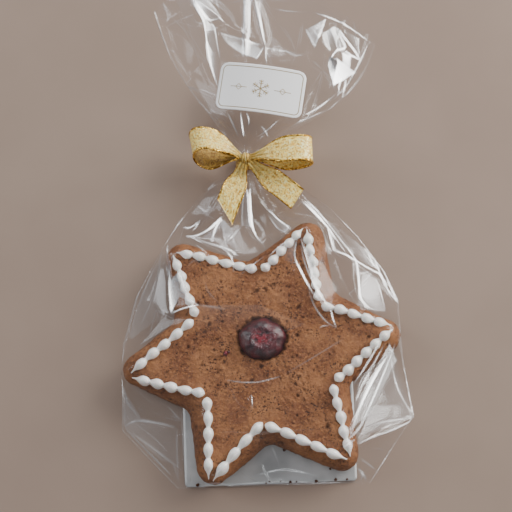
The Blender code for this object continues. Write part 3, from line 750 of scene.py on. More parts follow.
def build_cookie(finish, around=620):
    """Polar rings: over the top from the cherry to the rim, round the side and in under the edge.

    The side is a quarter oval: inset UNDER_EDGE (1 - cos t), drop WIDEST_LEVEL sin t. The relief is then
    added square to the surface.
    """
    bearings = full_turn(around)
    heading = np.stack([np.cos(bearings), np.sin(bearings)], axis=1)
    rim = reach_towards(bearings, STAR)
    edge = rim[:, None] * heading
    oval = heading * CHERRY_RADII
    inner = CHERRY_CENTRE + 1.2 * oval
    rings = [CHERRY_CENTRE + share * oval for share in np.linspace(0.05, 1.2, 22, endpoint=False)]
    rings += [inner + share * (edge - inner) for share in 1 - (1 - np.linspace(0, 1, 92)) ** 1.35]
    plan = np.array(rings)
    level = dough_surface(plan.reshape(-1, 2)).reshape(plan.shape[:2])
    top = np.dstack([plan, level])
    sides = []
    for turn in np.linspace(0, np.pi / 2, 13)[1:]:
        inset = UNDER_EDGE * (1 - math.cos(turn))
        ring = edge * (1 - inset / rim)[:, None]
        height = DOUGH_UNDERSIDE + WIDEST_LEVEL * (1 - math.sin(turn))
        sides.append(np.column_stack([ring, np.full(around, height)]))
    underside = np.full(around, DOUGH_UNDERSIDE)
    floor = [np.column_stack([share * sides[-1][:, :2], underside]) for share in (0.9, 0.5)]
    grid = np.concatenate([top, np.array(sides), np.array(floor)])
    down = np.gradient(grid, axis=0)
    round_it = np.roll(grid, -1, axis=1) - np.roll(grid, 1, axis=1)
    normal = unit(np.cross(down, round_it))
    normal[..., 2] = np.where(np.isnan(normal[..., 2]), 1.0, normal[..., 2])
    normal = np.nan_to_num(normal)
    points = grid.reshape(-1, 3)
    rough = 0.75 + 0.65 * smooth_step(-0.15, 0.45, soft_noise(points, 13.0, 18))
    depth = depth_inside(points[:, :2], STAR)
    below = 1 - smooth_step(3.0, 9.0, points[:, 2])
    relief, pit_shade = cookie_relief(points, rough + 0.5 * below)
    quiet = smooth_step(DOUGH_UNDERSIDE - 0.1, DOUGH_UNDERSIDE + 1.2, points[:, 2])
    sign = 1.0 if normal[40, 0, 2] > 0 else -1.0
    points = points + sign * normal.reshape(-1, 3) * (relief * quiet)[:, None]
    # Painted shade low on the side wall, and a darker band along the top of the rim
    browned_and_shaded = 0.55 * below + 0.20 * (1 - smooth_step(0, 3.0, depth)) * (points[:, 2] > WIDEST_LEVEL)
    hubs = np.array([[*CHERRY_CENTRE, level[0].mean()], [0.0, 0.0, DOUGH_UNDERSIDE]])
    points = np.vstack([points, hubs])
    faces = tube_faces(len(grid), around)
    values = {"pit_shade": np.append(pit_shade * quiet, [0, 0]), "browned_and_shaded": np.append(np.clip(browned_and_shaded, 0, 1), [0, 1])}
    return add_piece("gingerbread_star", points, faces, finish, ["cookie"], values)


def build_cherry(finish, around=120, levels=34):
    """A squashed dome, cos^0.75 wide and sin high, puckered round its rim, with a creased hollow on top."""
    bearings = full_turn(around)
    tilts = np.linspace(-0.25, 1, levels) * np.pi / 2
    turn, bearing = np.meshgrid(tilts, bearings, indexing="ij")
    pucker = 1 + 0.025 * np.sin(5 * bearing) + 0.015 * np.sin(9 * bearing + 1)
    spread = np.maximum(np.cos(turn), 0) ** 0.75 * pucker * 0.97
    plan = CHERRY_CENTRE + np.dstack([spread * np.cos(bearing), spread * np.sin(bearing)]) * CHERRY_RADII
    base = float(dough_surface(CHERRY_CENTRE[None], dent=False)[0]) - DENT_DEPTH + 0.35
    height = CHERRY_HEIGHT + 0.3
    level = base + height * np.sin(turn)
    hollow = 1 - smooth_step(0.18, 0.50, spread)
    ring = np.exp(-(((spread - 0.46) / 0.10) ** 2))
    level = level - 1.1 * hollow + 0.15 * ring
    points = np.dstack([plan, level]).reshape(-1, 3)
    wrinkle = 0.22 * soft_noise(points, 2.2, 31) + 0.12 * soft_noise(points, 1.1, 32)
    points[:, 2] += wrinkle * smooth_step(0.0, 0.5, turn.ravel())
    hubs = np.array([[*CHERRY_CENTRE, level[0, 0]], [*CHERRY_CENTRE, points[-around:, 2].mean()]])
    points = np.vstack([points, hubs])
    # Where the whitish frost goes, round the hollow: partly sugar, partly painted glints
    sugar_and_glints = np.clip(0.24 * ring + 0.18 * hollow, 0, 1).ravel()
    values = {"sugar_and_glints": np.append(sugar_and_glints, [0, 0.3]), "flesh": np.append(hollow.ravel(), [0, 1])}
    return add_piece("cherry_half", points, tube_faces(levels, around), finish, ["cherry"], values)


# ---- icing --------------------------------------------------------------------------------------


def stroke_ends(point, side):
    """The tail's end near a star point and the last pearl's centre near the notch on one side of it."""
    tip = polar(ICING_POINT_REACH[point], ICING_POINT_BEARING[point])
    notch_index = point if side > 0 else point - 1
    notch = polar(ICING_NOTCH_REACH[notch_index], ICING_NOTCH_BEARING[notch_index])
    inward = -unit(tip)
    outward = unit(notch)
    across_tip = side * np.array([inward[1], -inward[0]])
    across_notch = side * np.array([outward[1], -outward[0]])
    return tip + TAIL_SPREAD * across_tip, notch + NOTCH_SPREAD * across_notch


def pearl_swell(count, centres, sizes):
    """How full the stroke is: each pearl is a quarter oval towards the notch and a cosine bell to the tip."""
    swell = np.zeros(len(count))
    for centre, size in zip(centres, sizes):
        offset = count - centre
        blunt = np.sqrt(np.clip(1 - (offset / PEARL_BLUNT_END) ** 2, 0, 1))
        taper = (0.5 + 0.5 * np.cos(np.pi * np.clip(offset / PEARL_TAPER, -1, 1))) ** 0.80
        swell = np.maximum(swell, size * np.where(offset < 0, taper, blunt))
    return swell


def build_stroke(name, point, side, pearls, finish, node, around=22, steps=15):
    """Pearls carried along a line: each ring is a half oval on the dough, with its foot just in it."""
    start, last_pearl = stroke_ends(point, side)
    random = np.random.default_rng(100 + 2 * point + side)
    last = TAIL_LENGTH + pearls - 1
    centres = TAIL_LENGTH + np.arange(pearls) + random.uniform(-0.05, 0.05, pearls)
    sizes = random.uniform(0.90, 1.10, pearls)
    rounding = last + PEARL_BLUNT_END * np.sin(np.linspace(0.1, 1, 8) * np.pi / 2)
    count = np.concatenate([np.linspace(0, last, steps * pearls), rounding])
    swell = pearl_swell(count, centres, sizes)
    tail = smooth_step(-0.1, TAIL_LENGTH * 0.9, count)
    end = np.sqrt(np.clip(1 - (np.maximum(count - last, 0) / (PEARL_BLUNT_END * 1.001)) ** 2, 0, 1))
    strand_width = TAIL_WIDTH_AT_TIP + (STRAND_WIDTH - TAIL_WIDTH_AT_TIP) * tail
    strand_height = TAIL_HEIGHT_AT_TIP + (STRAND_HEIGHT - TAIL_HEIGHT_AT_TIP) * tail
    half_width = 0.5 * (strand_width + (PEARL_WIDTH - STRAND_WIDTH) * swell) * end
    height = (strand_height + (PEARL_HEIGHT - STRAND_HEIGHT) * swell) * end
    step = (last_pearl - start) / last
    across = np.array([-step[1], step[0]]) / np.linalg.norm(step)
    wander = np.interp(count, np.append(0, centres), np.append(0.0, random.uniform(-0.35, 0.35, pearls)))
    spine = start + count[:, None] * step + wander[:, None] * across
    turns = np.linspace(0, np.pi, around)
    foot = np.linspace(-1, 1, 5)[1:-1]
    offset = np.append(np.cos(turns), foot)
    lift = np.append(np.sin(turns) ** 0.85, 0 * foot)
    sink = np.append(PEARL_SINK * (1 - np.sin(turns)) ** 3, 0 * foot + PEARL_SINK)
    ring = spine[:, None] + (half_width[:, None] * offset)[..., None] * across
    flat = ring.reshape(-1, 2)
    level = dough_surface(flat, dent=False).reshape(ring.shape[:2])
    middle = dough_surface(spine, dent=False)[:, None]
    upright = np.append(np.sin(turns), 0 * foot)
    level = level * (1 - upright) + middle * upright + height[:, None] * lift - sink
    points = np.dstack([ring, level]).reshape(-1, 3)
    ring_size = around + len(foot)
    hubs = np.array([points[:ring_size].mean(axis=0), points[-ring_size:].mean(axis=0)])
    faces = tube_faces(len(count), ring_size)
    return add_piece(name, np.vstack([points, hubs]), faces, finish, [node])


def build_icing(finish):
    """Two runs of pearls to each point of the star, one on each side of it."""
    for point in range(6):
        for side, pearls in ((-1, PEARLS_BEFORE_POINT[point]), (1, PEARLS_AFTER_POINT[point])):
            number = 2 * point + (1 if side < 0 else 2)
            build_stroke(f"pearls_{number:02d}", point, side, pearls, finish, f"icing_{number:02d}")


# ---- card and crumbs ----------------------------------------------------------------------------


def turned(plan, degrees, centre):
    """Plan points turned about the origin and then moved to a centre."""
    angle = math.radians(degrees)
    spin = np.array([[math.cos(angle), -math.sin(angle)], [math.sin(angle), math.cos(angle)]])
    return np.asarray(plan) @ spin.T + np.asarray(centre)


def rounded_sheet(width, height, corner, columns, rows):
    """A grid that fills a round-cornered oblong: each row's ends follow the corner arcs."""
    v = np.linspace(-1, 1, rows) * height / 2
    v = np.sign(v) * height / 2 * np.abs(v / (height / 2)) ** 0.9
    over = np.clip(np.abs(v) - (height / 2 - corner), 0, corner)
    half = width / 2 - corner + np.sqrt(np.maximum(corner**2 - over**2, 0))
    u = np.linspace(-1, 1, columns)
    return np.dstack([u[None] * half[:, None], np.tile(v[:, None], (1, columns))])


def sheet_faces(rows, columns):
    """Upper grid, lower grid and the rim between them."""
    count = rows * columns
    upper = grid_faces(rows, columns)
    lower = upper[:, ::-1] + count
    index = np.arange(count).reshape(rows, columns)
    rim = np.concatenate([index[0], index[1:, -1], index[-1, -2::-1], index[-2:0:-1, 0]])
    after = np.roll(rim, -1)
    return [upper, lower, np.column_stack([after, rim, rim + count, after + count])]


def build_card(finish, columns=60, rows=42):
    """A thin card with a faint ripple, its lower face a card's thickness below."""
    flat = rounded_sheet(CARD_SIZE[0], CARD_SIZE[1], 1.0, columns, rows).reshape(-1, 2)
    plan = turned(flat, CARD_TURN, CARD_CENTRE)
    ripple = 0.04 * soft_noise(flat, 12.0, 41)
    upper = np.column_stack([plan, CARD_LEVELS[1] + ripple])
    lower = np.column_stack([plan, CARD_LEVELS[0] + ripple])
    points = np.vstack([upper, lower])
    return add_piece("silver_board", points, sheet_faces(rows, columns), finish, ["base_card"])


def add_lumps(name, finish, places, sizes, random, values, around=8, levels=5):
    """Small balls with those radii, pushed out of round and sunk a quarter of a radius into their places."""
    bearings, tilts = np.meshgrid(full_turn(around), np.linspace(0, np.pi, levels + 2)[1:-1])
    ball = np.dstack([np.sin(tilts) * np.cos(bearings), np.sin(tilts) * np.sin(bearings), np.cos(tilts)])
    ball = np.vstack([ball.reshape(-1, 3), [[0, 0, 1], [0, 0, -1]]])
    quads, *caps = tube_faces(levels, around)
    caps = np.vstack(caps)
    rough = 1 + 0.35 * random.uniform(-1, 1, (len(places), len(ball), 1))
    lumps = places[:, None] + ball * sizes[:, None, None] * rough + [0, 0, 0.75] * sizes[:, None, None]
    first = np.arange(len(places))[:, None, None] * len(ball)
    faces = [(quads + first).reshape(-1, 4), (caps + first).reshape(-1, 3)]
    values = {key: np.full(lumps.shape[:2], value) for key, value in values.items()}
    return add_piece(name, lumps, faces, finish, values=values)


def build_crumbs(finish):
    """Loose crumbs on the card, most of them along the bag's base."""
    random = np.random.default_rng(51)
    spots = ((-28.0, -54.4), (0.0, -53.6), (4.0, -53.5), (8.0, -53.3), (12.0, -53.2), (17.0, -53.0))
    spots += ((24.0, -52.8), (33.0, -52.5), (37.0, -52.4), (30.0, -48.0), (-8.0, -46.0))
    spots += ((12.0, -40.0), (36.5, -47.0))
    sizes = random.uniform(0.25, 0.75, len(spots))
    spread = random.uniform(-1, 1, (len(spots), 2)) * [2.2, 0.4]
    places = np.column_stack([spots + spread, np.full(len(spots), CARD_LEVELS[1])])
    return add_lumps("crumbs", finish, places, sizes, random, {"pit_shade": 0.0, "browned_and_shaded": 0.95})


def build_cherry_scraps(finish):
    """Two scraps of the cherry that were baked on to the dough beside it."""
    spots = np.array([(-14.0, -0.4), (-12.6, 0.3)])
    places = np.column_stack([spots, dough_surface(spots) - 0.3])
    values = {"sugar_and_glints": 0.05, "flesh": 1.0}
    sizes = np.array([0.95, 0.6])
    return add_lumps("cherry_scraps", finish, places, sizes, np.random.default_rng(52), values)


# ---- film ---------------------------------------------------------------------------------------

# Creases in the film over and beside the star: rise, half width and the line each follows
BODY_FOLDS = (
    (2.6, 3.0, ((-31.8, 51.1), (-23.6, 51.9), (-15.4, 60.6))),
    (1.6, 2.0, ((-31.3, 50.7), (-10.6, 40.0))),
    (2.2, 2.4, ((-5.5, 75.8), (-4.2, 56.0), (1.0, 47.2))),
    (1.8, 2.2, ((3.5, 61.6), (13.0, 53.6))),
    (1.8, 2.6, ((-31.0, 62.0), (-40.4, 49.1), (-43.7, 34.7), (-48.8, 24.0))),
    (2.8, 3.0, ((8.0, 75.0), (17.3, 66.7), (28.8, 54.7), (39.4, 40.3), (52.5, 31.5))),
    (1.8, 2.4, ((28.8, 54.7), (31.3, 43.8), (38.6, 42.0))),
    (2.2, 2.6, ((39.0, 41.1), (41.8, 23.0), (50.2, 15.2))),
    (-2.6, 3.2, ((25.0, 57.0), (31.0, 44.0), (35.5, 31.0), (42.0, 18.0))),
    (1.6, 2.0, ((16.0, 48.4), (17.2, 34.0), (32.4, 10.2))),
    (1.4, 1.8, ((17.2, 49.2), (22.3, 31.8), (24.8, 23.2))),
    (3.2, 4.0, ((55.1, 0.6), (44.4, -19.6), (34.6, -39.4))),
    (1.8, 2.2, ((47.6, 3.7), (38.9, -21.7))),
    (2.0, 2.4, ((58.1, -0.7), (64.4, -27.4))),
    (2.0, 2.4, ((64.4, -27.4), (40.9, -39.0))),
    (2.2, 2.6, ((-58.1, -30.8), (-37.2, -32.6))),
    (1.8, 2.2, ((-55.9, -32.1), (-37.1, -51.6))),
    (2.0, 2.4, ((-57.8, -13.8), (-50.9, -25.3), (-57.5, -30.0))),
    (1.2, 1.6, ((-34.2, -31.8), (-33.7, -54.0))),
    (1.6, 2.0, ((-39.9, 39.0), (-38.0, 17.4), (-26.0, 21.6))),
    (1.0, 1.5, ((-13.9, -11.6), (0.1, -12.9), (9.4, -9.6))),
    (1.0, 1.3, ((9.4, -9.6), (38.3, 6.7))),
    (0.8, 1.2, ((-4.2, -0.1), (12.8, 6.1))),
    (0.9, 1.2, ((-3.3, -18.4), (-2.9, -24.4))),
    (0.9, 1.6, ((-19.0, -32.7), (29.6, -35.6))),
    (0.9, 1.4, ((-29.6, -19.1), (-22.8, -31.9))),
)

# Creases in the open mouth
MOUTH_FOLDS = (
    (4.0, 3.4, ((-31.9, 158.0), (-24.4, 145.3), (-23.0, 129.5), (-18.6, 116.8), (-11.0, 98.0))),
    (2.6, 2.2, ((-28.4, 156.7), (-15.2, 144.2), (-24.0, 140.0))),
    (3.0, 1.6, ((-6.0, 160.0), (-6.0, 129.1))),
    (3.6, 2.2, ((-2.5, 158.1), (2.3, 135.7), (2.6, 126.0))),
    (3.2, 2.2, ((30.7, 144.1), (34.0, 128.4), (29.6, 112.8))),
    (2.8, 2.0, ((24.0, 141.0), (30.0, 131.0), (38.0, 124.0))),
    (2.4, 2.0, ((24.4, 106.2), (32.6, 112.8), (37.0, 120.0))),
    (1.6, 1.2, ((36.8, 146.3), (32.8, 132.9))),
    (1.8, 2.0, ((-43.0, 148.0), (-33.0, 124.0), (-18.0, 101.0))),
    (1.6, 1.8, ((-15.2, 144.2), (1.0, 136.0))),
)


# Painted glare on the body's film along its folds: strength, soft side (1 left, -1 right, 0 both) and the
# path with its widths
BODY_PAINTED_GLARE = (
    (0.6, 0, ((-31.5, 64.0, 0.35), (-41.5, 50.0, 0.4), (-52.0, 31.5, 0.4), (-57.5, 10.5, 0.35),
        (-58.5, 4.5, 0.3))),
    (0.7, 0, ((48.5, 43.0, 0.35), (53.5, 30.0, 0.4), (58.5, 23.0, 0.35))),
    (0.95, 1, ((-31.5, 51.0, 0.3), (-28.0, 50.5, 1), (-23.0, 52.5, 1.7), (-19.0, 56.0, 1.5),
        (-15.0, 60.5, 0.4))),
    (0.55, 0, ((-33.5, 56.0, 0.4), (-30.0, 55.5, 1), (-26.5, 58.0, 0.4))),
    (0.45, 0, ((-29.0, 53.0, 0.35), (-27.5, 55.5, 0.35), (-26.0, 58.5, 0.35))),
    (0.6, -1, ((-20.0, 47.5, 0.3), (-19.5, 51.0, 0.6), (-18.0, 55.5, 0.5), (-15.5, 59.0, 0.3))),
    (0.35, -1, ((-14.5, 46.5, 0.3), (-10.0, 52.0, 0.5), (-6.5, 56.5, 0.4))),
    (0.5, -1, ((-32.0, 51.0, 0.4), (-25.5, 48.5, 1.2), (-18.5, 46.0, 1.8), (-12.5, 44.0, 1.4),
        (-8.5, 41.0, 0.8))),
    (0.5, 0, ((-14.0, 43.5, 0.3), (-11.5, 40.5, 0.4), (-10.5, 36.5, 0.4), (-10.5, 33.5, 0.3))),
    (0.95, -1, ((-4.0, 72.0, 0.5), (-3.5, 59.5, 0.9), (-2.5, 53.5, 0.8), (-0.5, 49.0, 0.5),
        (1.5, 46.5, 0.2))),
    (0.55, -1, ((-6.5, 72.5, 0.5), (-7.0, 65.5, 1), (-7.5, 58.5, 1.3), (-7.0, 55.0, 0.8))),
    (0.4, 0, ((-5.0, 53.5, 0.4), (-3.0, 50.0, 0.5), (0.0, 47.5, 0.3))),
    (0.8, -1, ((3.5, 61.5, 0.4), (5.5, 60.5, 0.8), (8.0, 57.5, 0.6), (13.5, 53.0, 0.35))),
    (0.5, 0, ((3.5, 60.5, 0.3), (8.0, 53.5, 0.5), (13.0, 50.5, 0.4))),
    (0.9, -1, ((16.5, 66.5, 0.8), (20.0, 64.0, 1.5), (24.0, 60.5, 1.6), (29.5, 54.0, 0.9),
        (32.5, 49.0, 0.4))),
    (0.45, 0, ((17.5, 69.5, 0.3), (26.0, 60.5, 0.5), (33.5, 50.5, 0.5), (40.0, 42.0, 0.4))),
    (0.8, 0, ((29.0, 54.5, 0.4), (30.5, 49.0, 0.45), (32.0, 43.5, 0.35))),
    (0.85, -1, ((32.0, 44.0, 0.4), (37.0, 42.0, 0.7), (43.0, 39.0, 1.1), (48.0, 36.5, 1.2),
        (52.5, 34.5, 0.5))),
    (0.95, -1, ((37.0, 46.5, 0.3), (41.0, 40.0, 0.6), (42.0, 34.5, 0.7), (42.5, 28.5, 0.9),
        (43.0, 23.5, 1.5), (45.5, 19.5, 2), (50.0, 17.0, 1))),
    (0.7, 0, ((48.5, 36.0, 0.3), (51.0, 35.0, 0.9), (54.5, 30.0, 0.4))),
    (0.5, 0, ((49.5, 32.5, 0.3), (51.0, 28.5, 0.4), (53.5, 18.0, 0.35))),
    (0.75, 0, ((54.0, 33.0, 0.3), (56.5, 27.5, 0.6), (58.5, 23.0, 0.4))),
    (0.45, 0, ((46.0, 45.0, 0.3), (48.0, 40.0, 0.7), (51.0, 36.5, 0.3))),
    (0.75, 1, ((16.5, 48.0, 0.4), (15.5, 40.0, 0.7), (18.0, 34.0, 0.8), (22.5, 25.0, 1),
        (25.5, 21.5, 0.5))),
    (0.65, -1, ((18.0, 46.0, 0.3), (19.5, 38.5, 0.6), (22.5, 30.5, 0.8), (27.0, 22.5, 0.6),
        (30.0, 18.5, 0.3))),
    (0.3, 0, ((19.0, 45.0, 0.6), (22.0, 35.0, 1.6), (26.0, 24.5, 1.4))),
    (0.65, 0, ((21.0, 26.5, 0.3), (24.0, 18.5, 0.4), (28.5, 12.5, 0.4), (33.0, 9.5, 0.3))),
    (0.55, 0, ((30.5, 18.0, 0.3), (31.5, 13.5, 0.4), (33.0, 9.5, 0.3))),
    (0.45, 0, ((25.5, 9.5, 0.3), (27.5, 10.5, 0.5), (30.0, 10.5, 0.3))),
    (0.5, -1, ((3.5, 39.5, 0.3), (8.5, 44.5, 0.6), (12.5, 47.0, 1.6), (16.5, 48.0, 0.8))),
    (0.3, 0, ((-8.0, 32.5, 0.3), (-3.5, 36.0, 0.35), (3.5, 41.5, 0.35))),
    (0.95, 1, ((-40.0, 48.5, 0.3), (-39.0, 42.0, 0.6), (-38.0, 36.0, 0.9), (-38.0, 27.0, 0.8),
        (-37.0, 16.5, 0.5))),
    (0.95, 1, ((-37.0, 16.5, 0.4), (-33.5, 18.0, 0.8), (-29.5, 19.0, 1.1), (-25.0, 20.0, 0.4))),
    (0.6, 0, ((-37.0, 32.5, 0.3), (-34.5, 31.0, 0.7), (-33.5, 30.5, 0.3))),
    (0.4, 1, ((-42.5, 45.5, 0.3), (-43.5, 34.0, 0.5), (-46.5, 23.5, 0.6), (-51.0, 13.5, 0.3))),
    (0.3, 1, ((-45.0, 41.0, 0.6), (-50.0, 30.0, 1.5), (-53.5, 20.5, 1.2), (-56.0, 11.5, 0.5))),
    (0.26, 0, ((-22.5, 30.0, 0.4), (-21.0, 25.5, 0.9), (-16.0, 20.0, 0.4))),
    (0.22, 0, ((-28.5, 20.5, 0.8), (-21.5, 19.5, 1.4), (-13.5, 18.0, 0.5))),
    (0.22, 0, ((-30.5, 36.0, 0.3), (-27.0, 39.0, 0.9), (-23.5, 36.5, 0.5))),
    (0.11, 1, ((-8.0, 9.0, 0.5), (0.5, 7.0, 0.5), (11.5, 8.5, 0.5), (20.0, 12.0, 0.4))),
    (0.65, -1, ((52.0, 5.5, 0.4), (46.5, -4.0, 0.9), (39.5, -14.5, 0.5))),
    (0.95, -1, ((55.5, 1.0, 0.4), (48.5, -11.0, 1.4), (43.5, -21.5, 1.7), (40.5, -29.0, 1.2),
        (38.5, -35.0, 0.5))),
    (0.75, -1, ((57.5, 4.0, 0.4), (51.5, -11.0, 0.7), (46.5, -22.5, 0.9), (42.0, -32.0, 0.7),
        (35.0, -39.5, 0.4))),
    (0.4, 0, ((53.5, 4.0, 0.5), (47.5, -6.5, 1.8), (42.5, -16.0, 2), (39.5, -24.5, 1.2))),
    (0.7, -1, ((65.0, -27.0, 0.3), (56.0, -32.0, 0.8), (48.5, -35.0, 0.8), (41.0, -38.5, 0.4))),
    (0.36, 0, ((64.5, -26.5, 0.4), (53.5, -28.5, 1.4), (44.0, -31.5, 0.8))),
    (0.5, 0, ((58.5, 7.0, 0.35), (61.0, -4.5, 0.4), (65.0, -26.5, 0.4))),
    (0.3, 0, ((55.0, 0.0, 0.3), (58.0, -14.0, 0.8), (64.5, -26.0, 0.4))),
    (0.5, 1, ((-58.5, -12.5, 0.3), (-57.0, -19.5, 1.3), (-51.0, -26.5, 0.5))),
    (0.75, 1, ((-58.5, -29.5, 0.4), (-52.5, -27.5, 1.4), (-43.0, -29.0, 1.2), (-35.5, -31.0, 0.4))),
    (0.85, 0, ((-58.5, -30.0, 0.4), (-48.5, -40.0, 0.55), (-38.0, -50.5, 0.35))),
    (0.4, 0, ((-58.0, -30.5, 0.4), (-46.5, -38.5, 1.2), (-34.0, -48.0, 0.5))),
    (0.45, 0, ((-58.5, -20.5, 0.4), (-58.5, -29.5, 0.4))),
    (0.45, 0, ((-34.5, -31.5, 0.3), (-35.0, -42.0, 0.4), (-35.0, -53.0, 0.3))),
    (0.45, 0, ((-32.5, -23.5, 0.3), (-32.0, -38.5, 0.4), (-31.5, -54.5, 0.35))),
    (0.45, 0, ((-32.5, -55.5, 0.3), (-0.5, -54.0, 0.35), (27.0, -54.0, 0.35), (44.0, -53.5, 0.3))),
    (0.75, 0, ((40.5, -48.0, 0.4), (43.0, -50.0, 0.9), (44.5, -53.0, 0.4))),
    (0.55, 0, ((42.0, -53.0, 0.3), (43.0, -51.0, 0.5), (41.0, -49.5, 0.3))),
    (0.3, 0, ((1.0, -46.0, 0.3), (2.0, -49.5, 0.8), (4.0, -53.0, 0.4))),
    (0.22, 0, ((-4.5, -51.5, 0.4), (10.0, -48.5, 1), (25.0, -51.5, 0.5))),
    (0.55, -1, ((-13.5, -12.0, 0.3), (-7.0, -13.0, 0.45), (0.5, -13.0, 0.45), (10.0, -10.5, 0.3))),
    (0.3, 0, ((10.0, -10.5, 0.3), (24.5, -2.0, 0.35), (37.5, 6.0, 0.3))),
    (0.35, 0, ((-3.0, -17.5, 0.4), (-2.5, -21.5, 0.9), (-2.5, -25.0, 0.4))),
    (0.2, 0, ((-18.5, -33.5, 0.4), (0.5, -34.0, 1), (27.5, -32.5, 0.5))),
    (0.16, 0, ((-13.0, -12.0, 0.3), (-8.0, -22.0, 0.8), (0.5, -27.0, 0.4))),
    (0.6, 0, ((35.0, -40.5, 0.3), (37.5, -39.0, 0.35), (40.0, -37.0, 0.3))),
)

# Wide soft painted glare in the body: strength, the bearing of its brighter side and the outline
BODY_PAINTED_VEILS = (
    (0.85, 160, ((-39.0, 37.5), (-37.0, 31.5), (-33.0, 35.0), (-30.5, 28.0), (-29.0, 23.5), (-25.0, 20.0),
        (-29.5, 21.0), (-33.5, 23.5), (-36.0, 19.0), (-37.0, 16.5), (-38.0, 27.0))),
    (0.13, 60, ((-31.5, 50.5), (-23.0, 52.0), (-15.5, 60.0), (-12.0, 56.5), (-8.5, 41.0), (-18.5, 45.0))),
    (0.34, 0, ((-8.5, 70.0), (-4.0, 71.0), (-2.5, 53.5), (-7.5, 55.5))),
    (0.3, 45, ((4.0, 61.0), (13.5, 53.0), (11.5, 51.0), (7.0, 54.0))),
    (0.24, 60, ((19.0, 66.5), (32.5, 55.0), (41.0, 43.0), (32.0, 44.0), (29.0, 54.5))),
    (0.27, 250, ((44.0, 35.5), (49.5, 32.5), (53.5, 17.5), (50.0, 17.0), (45.5, 20.0), (42.5, 25.5))),
    (0.22, 30, ((33.5, 55.5), (47.0, 45.0), (52.0, 36.5), (41.0, 40.0))),
    (0.26, 20, ((8.5, 44.5), (16.0, 48.0), (15.0, 36.5), (11.5, 38.5))),
    (0.2, 180, ((-41.5, 49.0), (-39.0, 34.0), (-38.5, 17.5), (-55.0, 7.5), (-57.0, 9.0), (-49.5, 32.5))),
    (0.28, 10, ((55.0, 4.0), (58.0, -2.5), (47.5, -24.5), (38.0, -34.0), (39.5, -23.5), (48.5, -8.0))),
    (0.16, 300, ((57.0, 4.0), (65.0, -26.5), (42.0, -36.0), (48.5, -16.0))),
    (0.22, 200, ((-58.5, -14.0), (-50.5, -26.5), (-34.5, -30.0), (-33.5, -48.0), (-43.0, -44.0),
        (-58.5, -29.5))),
    (0.1, 90, ((-28.5, 20.0), (0.5, 20.0), (21.5, 11.0), (0.5, 5.5), (-25.0, 5.5))),
)
